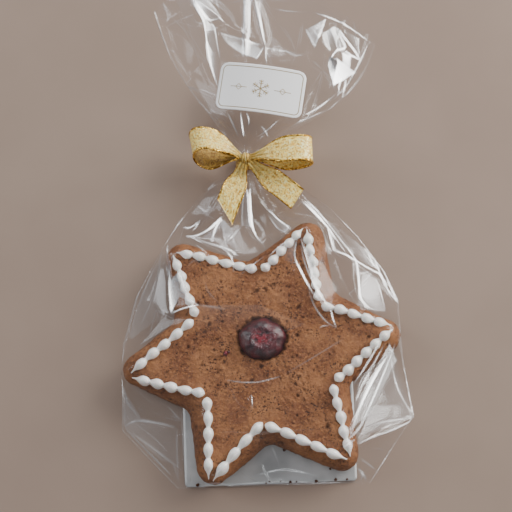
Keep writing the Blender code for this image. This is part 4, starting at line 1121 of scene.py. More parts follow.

# The same painted glare for the open mouth
MOUTH_PAINTED_GLARE = (
    (0.95, 1, ((-32.0, 157.5, 0.8), (-27.5, 151.0, 1.6), (-24.0, 145.0, 1.7), (-23.0, 137.5, 0.9),
        (-22.0, 130.5, 0.8), (-20.0, 122.5, 1.2), (-17.5, 115.0, 0.5))),
    (0.8, -1, ((-29.5, 157.5, 0.8), (-25.5, 151.0, 1.3), (-22.0, 146.5, 1.2), (-17.5, 146.5, 0.9),
        (-15.0, 144.5, 0.4))),
    (0.55, -1, ((-22.5, 147.0, 0.4), (-19.5, 143.0, 0.8), (-18.5, 136.5, 0.7), (-17.0, 129.5, 0.4))),
    (0.5, 0, ((-22.0, 154.5, 0.5), (-19.0, 151.0, 0.9), (-15.5, 145.0, 0.4))),
    (1, 0, ((-2.0, 156.5, 1.9), (-0.5, 150.5, 1.6), (1.0, 143.0, 0.9), (2.5, 134.5, 0.25))),
    (0.6, -1, ((-3.5, 156.5, 0.6), (-1.0, 148.5, 0.9), (2.0, 135.5, 0.3))),
    (0.55, 0, ((-6.5, 157.0, 0.9), (-6.5, 146.5, 1.2), (-7.0, 136.5, 0.9), (-7.0, 129.0, 0.5))),
    (0.45, 0, ((-4.5, 157.0, 0.5), (-4.5, 145.5, 0.7), (-5.5, 129.0, 0.4))),
    (0.6, -1, ((-17.5, 141.0, 0.4), (-11.0, 139.0, 1), (-4.0, 136.5, 1.3), (2.5, 134.5, 0.4))),
    (0.55, 0, ((2.5, 134.5, 0.3), (0.5, 131.0, 0.5), (-1.0, 128.5, 0.3))),
    (0.5, 0, ((3.0, 134.0, 0.3), (3.0, 129.5, 0.5), (3.5, 126.0, 0.3))),
    (0.4, 1, ((20.0, 142.0, 0.4), (22.0, 137.5, 1.3), (24.0, 133.5, 0.5))),
    (0.5, 0, ((29.0, 146.5, 0.3), (26.5, 139.5, 0.4), (24.0, 133.0, 0.3))),
    (0.95, 1, ((33.5, 142.5, 0.4), (35.0, 138.5, 0.8), (37.0, 134.0, 0.9), (33.5, 132.0, 1),
        (31.0, 128.5, 1.1), (30.5, 125.0, 0.9), (31.5, 117.5, 0.5))),
    (0.9, -1, ((33.5, 142.5, 0.3), (37.5, 137.5, 0.7), (41.0, 133.0, 0.7), (43.5, 129.0, 0.3))),
    (0.8, 1, ((43.5, 129.0, 0.3), (40.0, 130.5, 0.8), (37.0, 132.5, 0.6))),
    (0.85, 0, ((35.5, 121.0, 0.6), (34.5, 117.5, 0.7), (34.0, 114.0, 0.3))),
    (0.8, 0, ((37.5, 120.5, 0.6), (36.5, 116.5, 0.7), (35.5, 113.0, 0.3))),
    (0.55, 0, ((27.5, 139.5, 0.4), (29.0, 134.5, 0.8), (31.0, 132.0, 0.4))),
    (0.6, 0, ((23.5, 149.5, 0.3), (35.0, 145.0, 0.4), (47.5, 137.0, 0.35))),
    (0.45, 0, ((47.5, 137.5, 0.3), (43.5, 128.5, 0.5), (37.5, 118.0, 0.5), (31.0, 111.0, 0.4))),
    (0.85, 0, ((-47.5, 153.5, 0.35), (-44.5, 145.0, 0.4), (-40.5, 134.0, 0.35))),
    (0.55, 0, ((-40.5, 134.0, 0.3), (-33.0, 121.0, 0.5), (-26.5, 111.0, 0.6), (-17.0, 99.0, 0.4))),
    (0.45, 0, ((-33.0, 120.0, 0.3), (-29.5, 118.0, 0.9), (-27.0, 116.0, 0.4))),
    (0.5, -1, ((20.0, 104.0, 0.4), (26.0, 108.5, 0.9), (33.5, 114.5, 0.4))),
    (0.38, 0, ((21.5, 101.5, 0.4), (29.5, 108.0, 0.8), (35.5, 113.5, 0.4))),
    (0.6, 0, ((-14.0, 105.5, 0.4), (-11.5, 100.0, 0.8), (-9.0, 94.5, 0.4))),
    (0.7, 0, ((-8.0, 105.0, 0.6), (-7.5, 100.0, 1.1), (-7.0, 94.5, 0.5))),
    (0.65, 0, ((-5.5, 104.5, 0.4), (-4.5, 102.0, 0.5), (-4.5, 99.0, 0.3))),
    (0.65, 0, ((0.5, 98.5, 0.4), (2.0, 97.5, 0.8), (4.0, 94.0, 0.4))),
    (0.45, 0, ((9.0, 101.5, 0.3), (3.5, 97.0, 0.6), (-1.5, 94.0, 0.4))),
    (0.25, 0, ((-37.0, 155.5, 0.3), (-32.5, 142.5, 0.7), (-26.0, 130.0, 0.4))),
    (0.22, 0, ((-31.5, 146.0, 0.3), (-27.0, 130.0, 0.6), (-22.0, 117.0, 0.4))),
    (0.25, 0, ((3.5, 152.5, 0.4), (12.5, 150.5, 0.8), (23.0, 149.5, 0.4))),
    (0.2, 0, ((8.0, 135.5, 0.4), (15.5, 130.0, 0.9), (24.5, 132.5, 0.4))),
)

# Wide soft painted glare in the mouth: strength, the bearing of its brighter side and the outline
MOUTH_PAINTED_VEILS = (
    (0.55, 120, ((-29.5, 157.5), (-21.5, 155.5), (-15.5, 145.0), (-22.0, 147.0), (-24.0, 145.0),
        (-28.0, 152.0))),
    (0.3, 180, ((-23.0, 146.5), (-18.5, 142.0), (-17.0, 129.5), (-18.0, 117.0), (-22.0, 130.5))),
    (0.38, 230, ((-17.5, 141.0), (2.5, 134.5), (-1.0, 128.0), (-8.5, 131.5), (-14.0, 136.0))),
    (0.3, 90, ((-7.5, 157.0), (-3.5, 156.5), (-4.0, 129.0), (-8.0, 129.0))),
    (0.42, 330, ((20.0, 142.0), (29.0, 146.5), (26.5, 138.5), (24.0, 133.0))),
    (0.96, 200, ((30.0, 130.0), (36.0, 127.0), (41.5, 123.5), (36.5, 120.0), (32.0, 117.0), (29.5, 126.0))),
    (0.45, 60, ((27.5, 140.0), (33.0, 143.0), (36.0, 133.5), (30.5, 132.0))),
    (0.28, 30, ((36.0, 142.0), (43.5, 138.0), (43.5, 129.0))),
    (0.7, 90, ((36.0, 131.5), (40.0, 130.5), (39.0, 124.5), (36.0, 126.5))),
    (0.14, 90, ((-37.0, 157.0), (-31.5, 157.0), (-22.5, 134.0), (-18.5, 117.0), (-26.0, 130.0))),
)


def side_at(side, y):
    """How far to +X one side of the bag is at that y."""
    table = np.array(side)
    return np.interp(y, table[:, 0], table[:, 1])


def creases(plan, folds):
    """Each fold: rise exp(-distance / half width) with a narrow round crest, fading out at both ends."""
    total = np.zeros(len(plan))
    sharp = 0.35
    for rise, half_width, path in folds:
        away, share, _ = path_distance(plan, smooth_path(path, 6) if len(path) > 2 else path)
        crest = np.sqrt(away**2 + sharp**2) - sharp
        ends = np.sqrt(np.clip(np.sin(np.pi * np.clip(share * 0.98 + 0.01, 0, 1)), 0, 1))
        total += rise * ends * np.exp(-crest / half_width)
    return total


def about_neck(plan):
    """(offset, distance) of each plan point from the neck."""
    offset = plan - NECK_PLAN
    return offset, np.hypot(offset[:, 0], offset[:, 1])


def near_outline(plan, outline, margin):
    """The numbers of the plan points that are within a margin of an outline's box."""
    inside = (plan > outline.min(axis=0) - margin) & (plan < outline.max(axis=0) + margin)
    return np.flatnonzero(inside.all(axis=1))


def lattice_of(plan, cell, seed):
    """Skewed lattice coordinates by bearing and distance from the neck, so cells widen away from it."""
    offset, away = about_neck(plan)
    bearing = np.arctan2(offset[:, 0], np.abs(offset[:, 1]) + 0.1)
    spread = np.column_stack([55.0 * bearing, 0.62 * away * np.sign(offset[:, 1])])
    warp = [soft_noise(plan, 2.4 * cell, seed + 1), soft_noise(plan, 2.4 * cell, seed + 2)]
    scaled = spread / cell + 0.38 * np.stack(warp, axis=1) + LATTICE_SHIFT
    scaled[:, 0] += 0.4 * scaled[:, 1]
    return scaled, away


def facets(plan, cell, rise, seed):
    """Flat facets between straight creases: random heights on the lattice, joined by plane triangles."""
    heights = np.random.default_rng(seed).uniform(-1, 1, TABLE_SIZE)
    scaled, away = lattice_of(plan, cell, seed)
    base = np.floor(scaled).astype(np.int64)
    part = scaled - base
    level = [heights[lattice_key(base + np.array(c))] for c in ((0, 0), (1, 0), (0, 1), (1, 1))]
    near = level[0] + part[:, 0] * (level[1] - level[0]) + part[:, 1] * (level[2] - level[0])
    back = 1 - part
    far = level[3] + back[:, 0] * (level[2] - level[3]) + back[:, 1] * (level[1] - level[3])
    return rise * np.clip(away / 50, 0, 1.2) * np.where(part.sum(axis=1) < 1, near, far)


def painted_glare(plan, strips, veils):
    """How much glare is painted on the film, from 0 to 1: strips along its folds and wide soft veils between
    them.

    A strip adds a fine crest, exp(-(distance / crest width)^2), to a wider glow of the same form, which is
    narrower on its crisp side than on its soft side. Both thin out at the strip's ends. A veil fills its
    outline and is stronger towards its bearing. Each takes its share of what is still clear.
    """
    clear = np.ones(len(plan))
    patchy = 0.82 + 0.18 * soft_noise(plan, 6.0, 91)
    for strength, soft_side, path in strips:
        curve = smooth_path(path, 5)
        line = curve[:, :2]
        near = near_outline(plan, line, 5)
        away, share, side = path_distance(plan[near], line)
        runs = np.append(0, np.cumsum(np.linalg.norm(np.diff(line, axis=0), axis=1)))
        width = np.interp(share, runs / runs[-1], curve[:, 2])
        width = width * np.where(side * soft_side < 0, CRISP_SIDE, SOFT_SIDE)
        glow = (1 - CREST_SHARE) * np.exp(-((away / np.maximum(width, NARROWEST_STRIP)) ** 2))
        glow += CREST_SHARE * np.exp(-((away / CREST_WIDTH) ** 2))
        ends = np.sqrt(np.maximum(np.sin(np.pi * share), 0))
        clear[near] *= 1 - strength * ends * patchy[near] * glow
    for strength, bearing, outline in veils:
        outline = np.array(outline)
        near = near_outline(plan, outline, 2)
        inside = depth_inside(plan[near], outline) + 0.25 * soft_noise(plan[near], 3.0, 92)
        heading = polar(1.0, bearing)
        ends = outline @ heading
        towards = np.clip((plan[near] @ heading - ends.min()) / (ends.max() - ends.min()), 0, 1)
        clear[near] *= 1 - strength * (0.3 + 0.7 * towards) * smooth_step(-0.3, 0.5, inside)
    return 1 - clear


def neck_pleats(plan, seed, count, span, rise, reach):
    """Gathers that fan out from the neck: ridges at random bearings, each with its own length."""
    random = np.random.default_rng(seed)
    offset, away = about_neck(plan)
    bearing = np.degrees(np.arctan2(offset[:, 1], offset[:, 0])) % 360
    middles = np.linspace(span[0], span[1], count) + random.uniform(-4, 4, count)
    total = np.zeros(len(plan))
    for middle in middles:
        length = reach * random.uniform(0.35, 1.0)
        height = rise * random.uniform(0.5, 1.0)
        sideways = np.abs(np.radians(bearing - middle)) * away
        width = 0.7 + 0.055 * away
        fade = np.clip(1 - away / length, 0, 1) * smooth_step(2.0, 9.0, away)
        total += height * fade * np.maximum(1 - sideways / width, 0)
    return total


def icing_lines():
    """The ends of each run of pearls."""
    return [stroke_ends(point, side) for point in range(6) for side in (-1, 1)]


def resting_level(plan):
    """What the film lies on: the dough a little outside its edge, the pearls and the cherry."""
    margin = 1.3
    inside = depth_inside(plan, STAR) + margin > 0
    over_dough = dough_surface(plan, margin, dent=False) + FILM_CLEARANCE
    level = np.where(inside, over_dough, FILM_AT_EDGE)
    ice = np.zeros(len(plan))
    for start, end in icing_lines():
        away = path_distance(plan, (start, end))[0]
        ice = np.maximum(ice, PEARL_HEIGHT * np.clip(1.25 - (away / 2.9) ** 2, 0, 1))
    offset = (plan - CHERRY_CENTRE) / (2.3 * CHERRY_RADII)
    dome = np.cos(np.pi / 2 * np.minimum(np.hypot(offset[:, 0], offset[:, 1]), 1)) ** 2
    dome *= CHERRY_HEIGHT - DENT_DEPTH + 1.3
    return np.where(inside, level + np.maximum(ice, dome), level)


class Membrane:
    """Film drawn tight over the star and held along the bag's outline, solved on a one-millimetre grid.

    Again and again each free cell moves past the mean of its four neighbours, by over-relaxation, and never
    sinks below what it rests on.
    """

    def __init__(self, low=(-64, -60), high=(70, 86), rounds=420):
        self.low = np.array(low, float)
        self.x = np.arange(low[0], high[0] + 1.0)
        self.y = np.arange(low[1], high[1] + 1.0)
        grid = np.stack(np.meshgrid(self.x, self.y), axis=-1)
        plan = grid.reshape(-1, 2)
        left = np.array([(x, y) for y, x in LEFT_SIDE])
        right = np.array([(x, y) for y, x in RIGHT_SIDE])
        outline = np.vstack([right, left[::-1]])
        free = (depth_inside(plan, outline) > 0.2).reshape(grid.shape[:2])
        rest = resting_level(plan).reshape(grid.shape[:2])
        self.rest = rest
        edge = np.where(free, 0, FILM_AT_EDGE)
        neck = (grid[..., 1] > 79.5) & free
        edge = np.where(neck, 9.0, edge)
        free &= ~neck
        level = np.where(free, np.maximum(rest, 6.0), edge)
        odd = (np.indices(level.shape).sum(axis=0) % 2).astype(bool)
        for turn in range(rounds):
            chosen = free & (odd if turn % 2 else ~odd)
            mean = 0.25 * (
                np.roll(level, 1, 0) + np.roll(level, -1, 0) + np.roll(level, 1, 1) + np.roll(level, -1, 1)
            )
            step = level + 1.85 * (mean - level)
            level = np.where(chosen, np.maximum(step, rest), level)
        self.level = level

    def at(self, plan, table):
        """The table's value at each plan point, blended between the four cells round it."""
        scaled = plan - self.low
        limit = np.array([len(self.x) - 2, len(self.y) - 2])
        base = np.clip(np.floor(scaled).astype(int), 0, limit)
        part = np.clip(scaled - base, 0, 1)
        x, y = base[:, 0], base[:, 1]
        near = table[y, x] * (1 - part[:, 0]) + table[y, x + 1] * part[:, 0]
        far = table[y + 1, x] * (1 - part[:, 0]) + table[y + 1, x + 1] * part[:, 0]
        return near * (1 - part[:, 1]) + far * part[:, 1]


def gathered_ring(across, upper):
    """The tied neck's section: half of a circle whose radius ripples with seventeen small pleats."""
    turn = np.arccos(np.clip(across, -1, 1))
    radius = NECK_RADIUS * (0.93 + 0.07 * np.cos(17 * turn))
    x = NECK_X + radius * np.cos(turn)
    z = NECK_LEVEL + (1 if upper else -1) * radius * np.sin(turn)
    return x, z


def pull_to_neck(upper, lower, across, share):
    """Moves each row of both films on to the tied neck's section, by its share."""
    for sheet, is_upper in ((upper, True), (lower, False)):
        neck_x, neck_z = gathered_ring(across, is_upper)
        rows = len(sheet)
        goal = np.dstack([np.tile(neck_x, (rows, 1)), sheet[..., 1], np.tile(neck_z, (rows, 1))])
        sheet += share[..., None] * (goal - sheet)


def body_film(across):
    """Upper and lower film from the base to the neck.

    Upper: the tight membrane plus its creases, eased into the rounded, pleated section at the neck.
    Lower: flat on the table, lifted to the neck's underside at the end.
    """
    y = np.linspace(LEFT_SIDE[0][0], BODY_ENDS, BODY_ROWS)
    rows, columns = np.meshgrid(y, across, indexing="ij")
    left, right = side_at(LEFT_SIDE, rows), side_at(RIGHT_SIDE, rows)
    x = (left + right) / 2 + columns * (right - left) / 2
    sheared = rows + BASE_SLOPE * x * (1 - smooth_step(-40, 0, rows))
    plan = np.column_stack([x.ravel(), sheared.ravel()])
    membrane = Membrane()
    tight = membrane.at(plan, membrane.level)
    rest = membrane.at(plan, membrane.rest)
    bulge = np.sqrt(np.maximum(1 - columns.ravel() ** 2, 0))
    to_neck = smooth_step(NECK_STARTS, BODY_ENDS, rows.ravel())
    ridge = RIDGE_LEVEL + (NECK_LEVEL + NECK_RADIUS - RIDGE_LEVEL) * to_neck
    middle = NECK_LEVEL * to_neck
    section = middle + (ridge - middle) * bulge
    take = smooth_step(NECK_STARTS - 2, NECK_STARTS + 12, rows.ravel())
    level = (1 - take) * tight + take * section
    edge_fade = smooth_step(0.0, 0.06, 1 - np.abs(columns.ravel()))
    folds = creases(plan, BODY_FOLDS)
    off_star = 1 - smooth_step(-3.0, 2.0, depth_inside(plan, STAR))
    loose = (0.06 + 0.94 * off_star) * (0.10 + 0.90 * smooth_step(0.8, 4.5, tight - rest))
    folds += loose * (facets(plan, FACET_CELL, 1.8, FACET_SEED) + facets(plan, 7.0, 0.15, 64))
    folds += neck_pleats(plan, 62, 9, (212, 328), 2.2, 56.0)
    level = level + folds * edge_fade * (1 - smooth_step(GATHERS_START, 81, rows.ravel()))
    over = np.where(rows.ravel() < NECK_STARTS + 6, rest + 0.25, 0.5)
    level = np.maximum(level, np.where(edge_fade > 0.5, over, 0.5))
    upper = np.dstack([x, sheared, level.reshape(x.shape)])
    # Painted glare on the body's film, and how loose it hangs
    marks = {"painted_glare": painted_glare(plan, BODY_PAINTED_GLARE, BODY_PAINTED_VEILS), "loose": loose}
    lift = smooth_step(NECK_Y - 16, BODY_ENDS, rows)
    under_bulge = np.sqrt(np.maximum(1 - columns**2, 0))
    under = UNDER_FILM_LEVEL + lift * (NECK_LEVEL - NECK_RADIUS * under_bulge)
    lower = np.dstack([x, sheared, np.minimum(under, upper[..., 2] - 0.2)])
    pull_to_neck(upper, lower, across, smooth_step(GATHERS_START, BODY_ENDS, rows))
    return upper, lower, {key: data.reshape(x.shape) for key, data in marks.items()}


def label_level(plan, rest):
    """The sticker's underside where the film is stuck to it."""
    local = turned(plan - LABEL_CENTRE, -LABEL_TURN, (0, 0))
    return rest - LABEL_BEND * local[:, 0] ** 2, local


def mouth_film(across, label_rest):
    """Upper and lower film of the open mouth: polar from the neck, its sides bowed, with loose pleats."""
    reach = np.linspace(0, 1, MOUTH_ROWS) ** 1.15 * FAN_REACH
    rows, columns = np.meshgrid(reach, across, indexing="ij")
    half = (FAN_LEFT_BEARING - FAN_RIGHT_BEARING) / 2
    bearing = np.radians(FAN_RIGHT_BEARING + half * (1 - columns))
    short = rows - FAN_RIGHT_SHORTER * smooth_step(0, 1, columns) * rows / FAN_REACH
    side_bow = FAN_LEFT_BOW + (FAN_RIGHT_BOW - FAN_LEFT_BOW) * smooth_step(-1, 1, columns)
    bow = columns * np.abs(columns) * side_bow * np.sin(np.pi * (short / FAN_REACH) ** 1.5)
    x = NECK_X + columns * NECK_RADIUS + short * np.cos(bearing) + bow * np.sin(bearing)
    y = MOUTH_STARTS + short * np.sin(bearing) - bow * np.cos(bearing)
    plan = np.column_stack([x.ravel(), y.ravel()])
    opened = smooth_step(0, 30, short)
    bulge = np.sqrt(np.maximum(1 - np.abs(columns) ** (2 + 2 * opened), 0))
    ridge = (1 - opened) * (NECK_LEVEL + NECK_RADIUS) + opened * FAN_LEVEL
    middle = NECK_LEVEL * (1 - opened)
    top = middle + (ridge - middle) * bulge
    folds = creases(plan, MOUTH_FOLDS)
    folds += facets(plan, FACET_CELL, 2.1, FACET_SEED) + facets(plan, 7.0, 0.15, 74)
    folds += neck_pleats(plan, 72, 7, (42, 122), 2.2, 50.0)
    fade = smooth_step(1.0, 8.0, short) * smooth_step(0.0, 0.10, 1 - np.abs(columns))
    top = top + folds.reshape(x.shape) * fade
    stuck, local = label_level(plan, label_rest)
    outside = np.maximum(np.abs(local[:, 0]) - LABEL_WIDTH / 2, np.abs(local[:, 1]) - LABEL_HEIGHT / 2)
    hold = (1 - smooth_step(0.0, 14.0, outside)).reshape(x.shape)
    top = np.maximum((1 - hold) * top + hold * (stuck.reshape(x.shape) - 0.12), 0.8)
    # Painted glare on the mouth's film, and how loose it hangs
    marks = {"painted_glare": painted_glare(plan, MOUTH_PAINTED_GLARE, MOUTH_PAINTED_VEILS), "loose": np.clip(short.ravel() / 20, 0, 1)}
    lift = 1 - smooth_step(0, 16, short)
    under = UNDER_FILM_LEVEL + lift * (NECK_LEVEL - NECK_RADIUS * bulge)
    under_folds = np.abs(facets(plan, 22.0, 2.4, 77)).reshape(x.shape)
    under = under + under_folds * fade
    under = np.minimum(under, top - 0.3)
    upper, lower = np.dstack([x, y, top]), np.dstack([x, y, under])
    pull_to_neck(upper, lower, across, 1 - smooth_step(0.0, 7.0, short))
    return upper, lower, {key: data.reshape(x.shape) for key, data in marks.items()}


def film_skin(name, finish, across, upper, lower, marks, base):
    """One closed tube of film: rings of the upper film with the lower film's, shut at its base if it has one.

    The film also keeps what its shader needs: the lattice of its facets, its turn and distance about the
    neck, how much glare is painted on it, and how much it hangs loose or is gathered.
    """
    rings = np.concatenate([upper, lower[:, ::-BACK_STEP]], axis=1)
    rows, columns = rings.shape[:2]
    # A painted highlight along both side edges of the upper film, where it folds under
    edge_highlight = smooth_step(0.982, 0.995, np.abs(across)) * (0.75 + 0.25 * np.sin(np.arange(rows) / 9.0))[:, None]
    front = np.maximum(marks["painted_glare"], 0.25 * edge_highlight)
    values = {"painted_glare": np.concatenate([front, np.zeros((rows, columns - len(across)))], axis=1)}
    values["loose"] = np.concatenate([marks["loose"], marks["loose"][:, ::-BACK_STEP]], axis=1)
    plan = rings[..., :2].reshape(-1, 2)
    lattice, away = lattice_of(plan, FACET_CELL, FACET_SEED)
    lattice[:, 0] += np.where(plan[:, 1] > NECK_Y, MOUTH_FACET_SHIFT, 0.0)
    offset = plan - NECK_PLAN
    values["lattice_u"] = lattice[:, 0] - LATTICE_SHIFT
    values["lattice_v"] = lattice[:, 1] - LATTICE_SHIFT
    values["turn"] = 9.0 * np.arctan2(offset[:, 0], np.abs(offset[:, 1]) + 0.1)
    values["away"] = away / 55.0 * np.sign(offset[:, 1])
    values["neck"] = (1 - smooth_step(12, 52, away)) * smooth_step(3, 10, away)
    faces = [grid_faces(rows, columns, closed=True)]
    if base:
        index = np.arange((FILM_COLUMNS - 1) // BACK_STEP)
        front = BACK_STEP * index[:, None] + np.arange(BACK_STEP, -1, -1)
        faces.append(np.column_stack([front, columns - 1 - index, columns - 2 - index]))
    film = add_piece(name, rings, faces, finish, ["bag"], values)
    film.visible_shadow = False
    return film


def build_film(finish, label_rest):
    """The bag's body, shut at its base, and its open mouth, which starts from the body's last ring."""
    across = np.sin(np.linspace(-0.5, 0.5, FILM_COLUMNS) * np.pi * 0.62) / math.sin(0.31 * np.pi)
    upper, lower, marks = body_film(across)
    film_skin("film_body", finish, across, upper, lower, marks, base=True)
    mouth = mouth_film(across, label_rest)
    upper = np.concatenate([upper[-1:], mouth[0]])
    lower = np.concatenate([lower[-1:], mouth[1]])
    marks = {key: np.concatenate([data[-1:], mouth[2][key]]) for key, data in marks.items()}
    film_skin("film_mouth", finish, across, upper, lower, marks, base=False)


# ---- ribbon -------------------------------------------------------------------------------------


def build_band(name, node, centre, across, width, finish, folds, skew, cup=0.0, painted_shade=0.0, lanes=21):
    """Ribbon carried along a centre line: thin in the middle, beaded with wire along both edges.

    Its face is lifted by folds cos(3 pi v + 0.6) where it is gathered, and by cup (1 - v^2) across it.
    Skew moves its two edges apart lengthwise: each point goes v times its row's skew. Painted shade darkens
    the ribbon in its gathers and, as far as its painted shade amount says, on the side that faces its own
    middle.
    """
    ahead = np.gradient(centre, axis=0)
    face = unit(np.cross(across, ahead))
    v = np.sin(np.linspace(-1, 1, lanes) * np.pi / 2)
    thick = 0.16 + 0.28 * np.exp(-(((np.abs(v) - 0.95) / 0.05) ** 2))
    lift = folds[:, None] * np.cos(3 * np.pi * v + 0.6) + cup * (1 - v**2)
    spread = centre[:, None] + (v * 0.5 * width[:, None])[..., None] * across[:, None]
    spread = spread + v[None, :, None] * skew[:, None]
    over = spread + face[:, None] * (lift + thick)[..., None]
    under = spread + face[:, None] * (lift - thick)[..., None]
    rings = np.concatenate([over, under[:, ::-1]], axis=1)
    rows, columns = rings.shape[:2]
    lane = np.arange(lanes - 1)
    cap = np.column_stack([lane, lane + 1, columns - 2 - lane, columns - 1 - lane])
    faces = [grid_faces(rows, columns, closed=True), cap, cap[:, ::-1] + (rows - 1) * columns]
    run = np.append(0, np.cumsum(np.linalg.norm(np.diff(centre, axis=0), axis=1)))
    both_faces = np.concatenate([v, v[::-1]])
    uv = np.dstack(np.meshgrid(both_faces * RIBBON_WIDTH / 2, run))
    wire = np.tile(smooth_step(0.84, 0.90, np.abs(both_faces)), rows)
    # Painted shade: on the loop's inner side and in the gathers near the knot
    inward = np.clip(((centre.mean(axis=0) - centre) * face).sum(axis=1) * 0.8, -1, 1) * painted_shade
    gather_shade = folds[:, None] * (0.8 - 0.4 * np.cos(3 * np.pi * v + 0.6))
    back = [np.maximum(inward[:, None], gather_shade), np.maximum(-inward[:, None], gather_shade)[:, ::-1]]
    values = {"wire": wire, "back": np.concatenate(back, axis=1)}
    return add_piece(name, rings, faces, finish, [node], values, uv)


def build_loop(name, node, finish, along, across, length, opening, shear=0.0, painted_shade=0.0, rings=90):
    """A bow loop: out = length (1 - cos t) / 2, its two runs apart by opening sin t sin(t / 2).

    Shear pulls the front edge back towards the knot, and the rear edge out, by that much at the far end.
    """
    along = unit(along)
    across = unit(np.array(across) - along * (np.array(across) @ along))
    through = np.cross(across, along)
    share = np.linspace(0.03, 0.97, rings)
    out = length * (1 - np.cos(2 * np.pi * share)) / 2
    bulge = opening * np.sin(2 * np.pi * share) * np.sin(np.pi * share)
    start = np.array([NECK_X, NECK_Y, KNOT_LEVEL]) + along * LOOP_STARTS
    centre = start + out[:, None] * along + bulge[:, None] * through
    gather = 1 - smooth_step(0.0, 0.55, out / length)
    width = RIBBON_WIDTH * (LOOP_PINCH + (1 - LOOP_PINCH) * smooth_step(0, 0.62, out / length))
    skew = -shear * smooth_step(0.2, 1.0, out / length)[:, None] * along
    across = np.tile(across, (rings, 1))
    return build_band(name, node, centre, across, width, finish, 0.55 * gather, skew, painted_shade=painted_shade)


def build_tail(name, node, end, finish, bag, slant, rings=46):
    """A ribbon end from the knot down on to the film; the slant cuts one edge longer than the other."""
    heading = unit(np.array(end) - NECK_PLAN)
    across = np.array([heading[1], -heading[0], 0.0])
    share = np.linspace(0, 1, rings)
    start = NECK_PLAN + heading * END_STARTS
    plan = start + share[:, None] * (np.array(end) - start)
    width = RIBBON_END_WIDTH * (END_PINCH + (1 - END_PINCH) * smooth_step(0, 0.5, share))
    under = np.full(rings, 0.4)
    for lane in np.linspace(-0.5, 0.5, 7):
        spots = (plan + lane * width[:, None] * across[:2] + OFFSET[:2]) * MM
        hits = [bag.ray_cast((x, y, 0.2), (0, 0, -1))[0] for x, y in spots]
        under = np.maximum(under, [hit.z / MM if hit else 0.0 for hit in hits])
    rest = smoothed(under) + 0.75
    level = np.maximum(np.maximum(rest, under + 0.5), (KNOT_LEVEL + 0.6) * (1 - 1.1 * share))
    centre = np.column_stack([plan, smoothed(level)])
    gather = 0.5 * (1 - smooth_step(0.0, 0.5, share))
    skew = slant * smooth_step(0.3, 1.0, share)[:, None] * np.append(heading, 0.0)
    across = np.tile(across, (rings, 1))
    return build_band(name, node, centre, across, width, finish, gather, skew, cup=0.25)


def build_tie(finish, around=96, across_steps=11):
    """The turn of ribbon round the neck: a ring whose width is crossed by shallow gathers."""
    turns = full_turn(around)
    v = np.linspace(-1, 1, across_steps)
    ripple = 0.14 * np.cos(4 * np.pi * v)
    outer = NECK_RADIUS + 0.72 + ripple
    inner = NECK_RADIUS + 0.30 + 0 * v
    radius = np.concatenate([outer, inner[::-1]])
    offset = np.concatenate([v, v[::-1]]) * 2.5
    turn, ring = np.meshgrid(turns, radius, indexing="ij")
    x = NECK_X + ring * np.cos(turn)
    z = NECK_LEVEL + ring * np.sin(turn)
    points = np.dstack([x, NECK_Y + np.tile(offset, (around, 1)), z])
    points = np.concatenate([points, points[:1]])
    rows, columns = points.shape[:2]
    uv = np.dstack(np.meshgrid(offset, np.linspace(0, 26, rows)))
    body = grid_faces(rows, columns, closed=True)
    last = (rows - 1) * columns
    body = np.where(body >= last, body - last, body)
    points = points[:-1].reshape(-1, 3)
    uv = uv[:-1]
    wire = np.tile(smooth_step(0.75, 0.95, np.abs(np.concatenate([v, v[::-1]]))), around)
    # Painted shade over the whole tie
    values = {"wire": wire, "back": np.full(len(points), 0.7)}
    return add_piece("bow_tie", points, [body], finish, ["ribbon_tie"], values, uv)


def build_knot(finish, around=48, levels=26):
    """A small wrapped knot: an oval ball whose radius is creased by cos(5 pi w), w its place in the wrap."""
    turns = full_turn(around)
    tilts = np.linspace(0, np.pi, levels + 2)[1:-1]
    tilt, turn = np.meshgrid(tilts, turns, indexing="ij")
    wound = np.cos(tilt) + 0.16 * np.cos(turn)
    crease_depth = 1 + 0.13 * np.cos(5 * wound * np.pi) * np.sin(tilt)
    section = crease_depth * np.sin(tilt) ** 0.7
    x = NECK_X + KNOT_HALF_WIDTH * np.cos(tilt)
    y = NECK_Y + KNOT_HALF_LENGTH * section * np.cos(turn)
    z = KNOT_LEVEL + KNOT_HALF_HEIGHT * section * np.sin(turn)
    points = np.dstack([x, y, z]).reshape(-1, 3)
    hubs = [[NECK_X + side * KNOT_HALF_WIDTH, NECK_Y, KNOT_LEVEL] for side in (1, -1)]
    uv = np.vstack([np.column_stack([points[:, 0] * 1.5, 3.0 * turn.ravel()]), [[0, 0], [0, 0]]])
    strands = np.exp(-(((np.abs(wound + 0.05) - 0.42) / 0.13) ** 2))
    wire = np.append(np.maximum(strands, smooth_step(0.8, 1.0, np.abs(np.cos(tilt)))).ravel(), [1, 1])
    # Painted shade, deepest in the creases of the wrap and at its ends
    values = {"wire": wire, "back": np.append(0.45 - 0.4 * np.cos(5 * wound * np.pi).ravel(), [1, 1])}
    points = np.vstack([points, hubs])
    faces = tube_faces(levels, around)
    return add_piece("bow_knot", points, faces, finish, ["ribbon_knot"], values, uv)


# ---- label --------------------------------------------------------------------------------------


def build_label(finish, rest, columns=72, rows=42):
    """A round-cornered sticker bowed across the mouth: level = rest - bend u^2."""
    flat = rounded_sheet(LABEL_WIDTH, LABEL_HEIGHT, LABEL_CORNER, columns, rows).reshape(-1, 2)
    plan = turned(flat, LABEL_TURN, LABEL_CENTRE)
    low = rest - LABEL_BEND * flat[:, 0] ** 2 + 0.05 * soft_noise(flat, 9.0, 81)
    upper = np.column_stack([plan, low + LABEL_THICKNESS])
    lower = np.column_stack([plan, low])
    uv = np.vstack([flat, flat])
    points = np.vstack([upper, lower])
    return add_piece("sticker", points, sheet_faces(rows, columns), finish, ["label"], uv=uv)


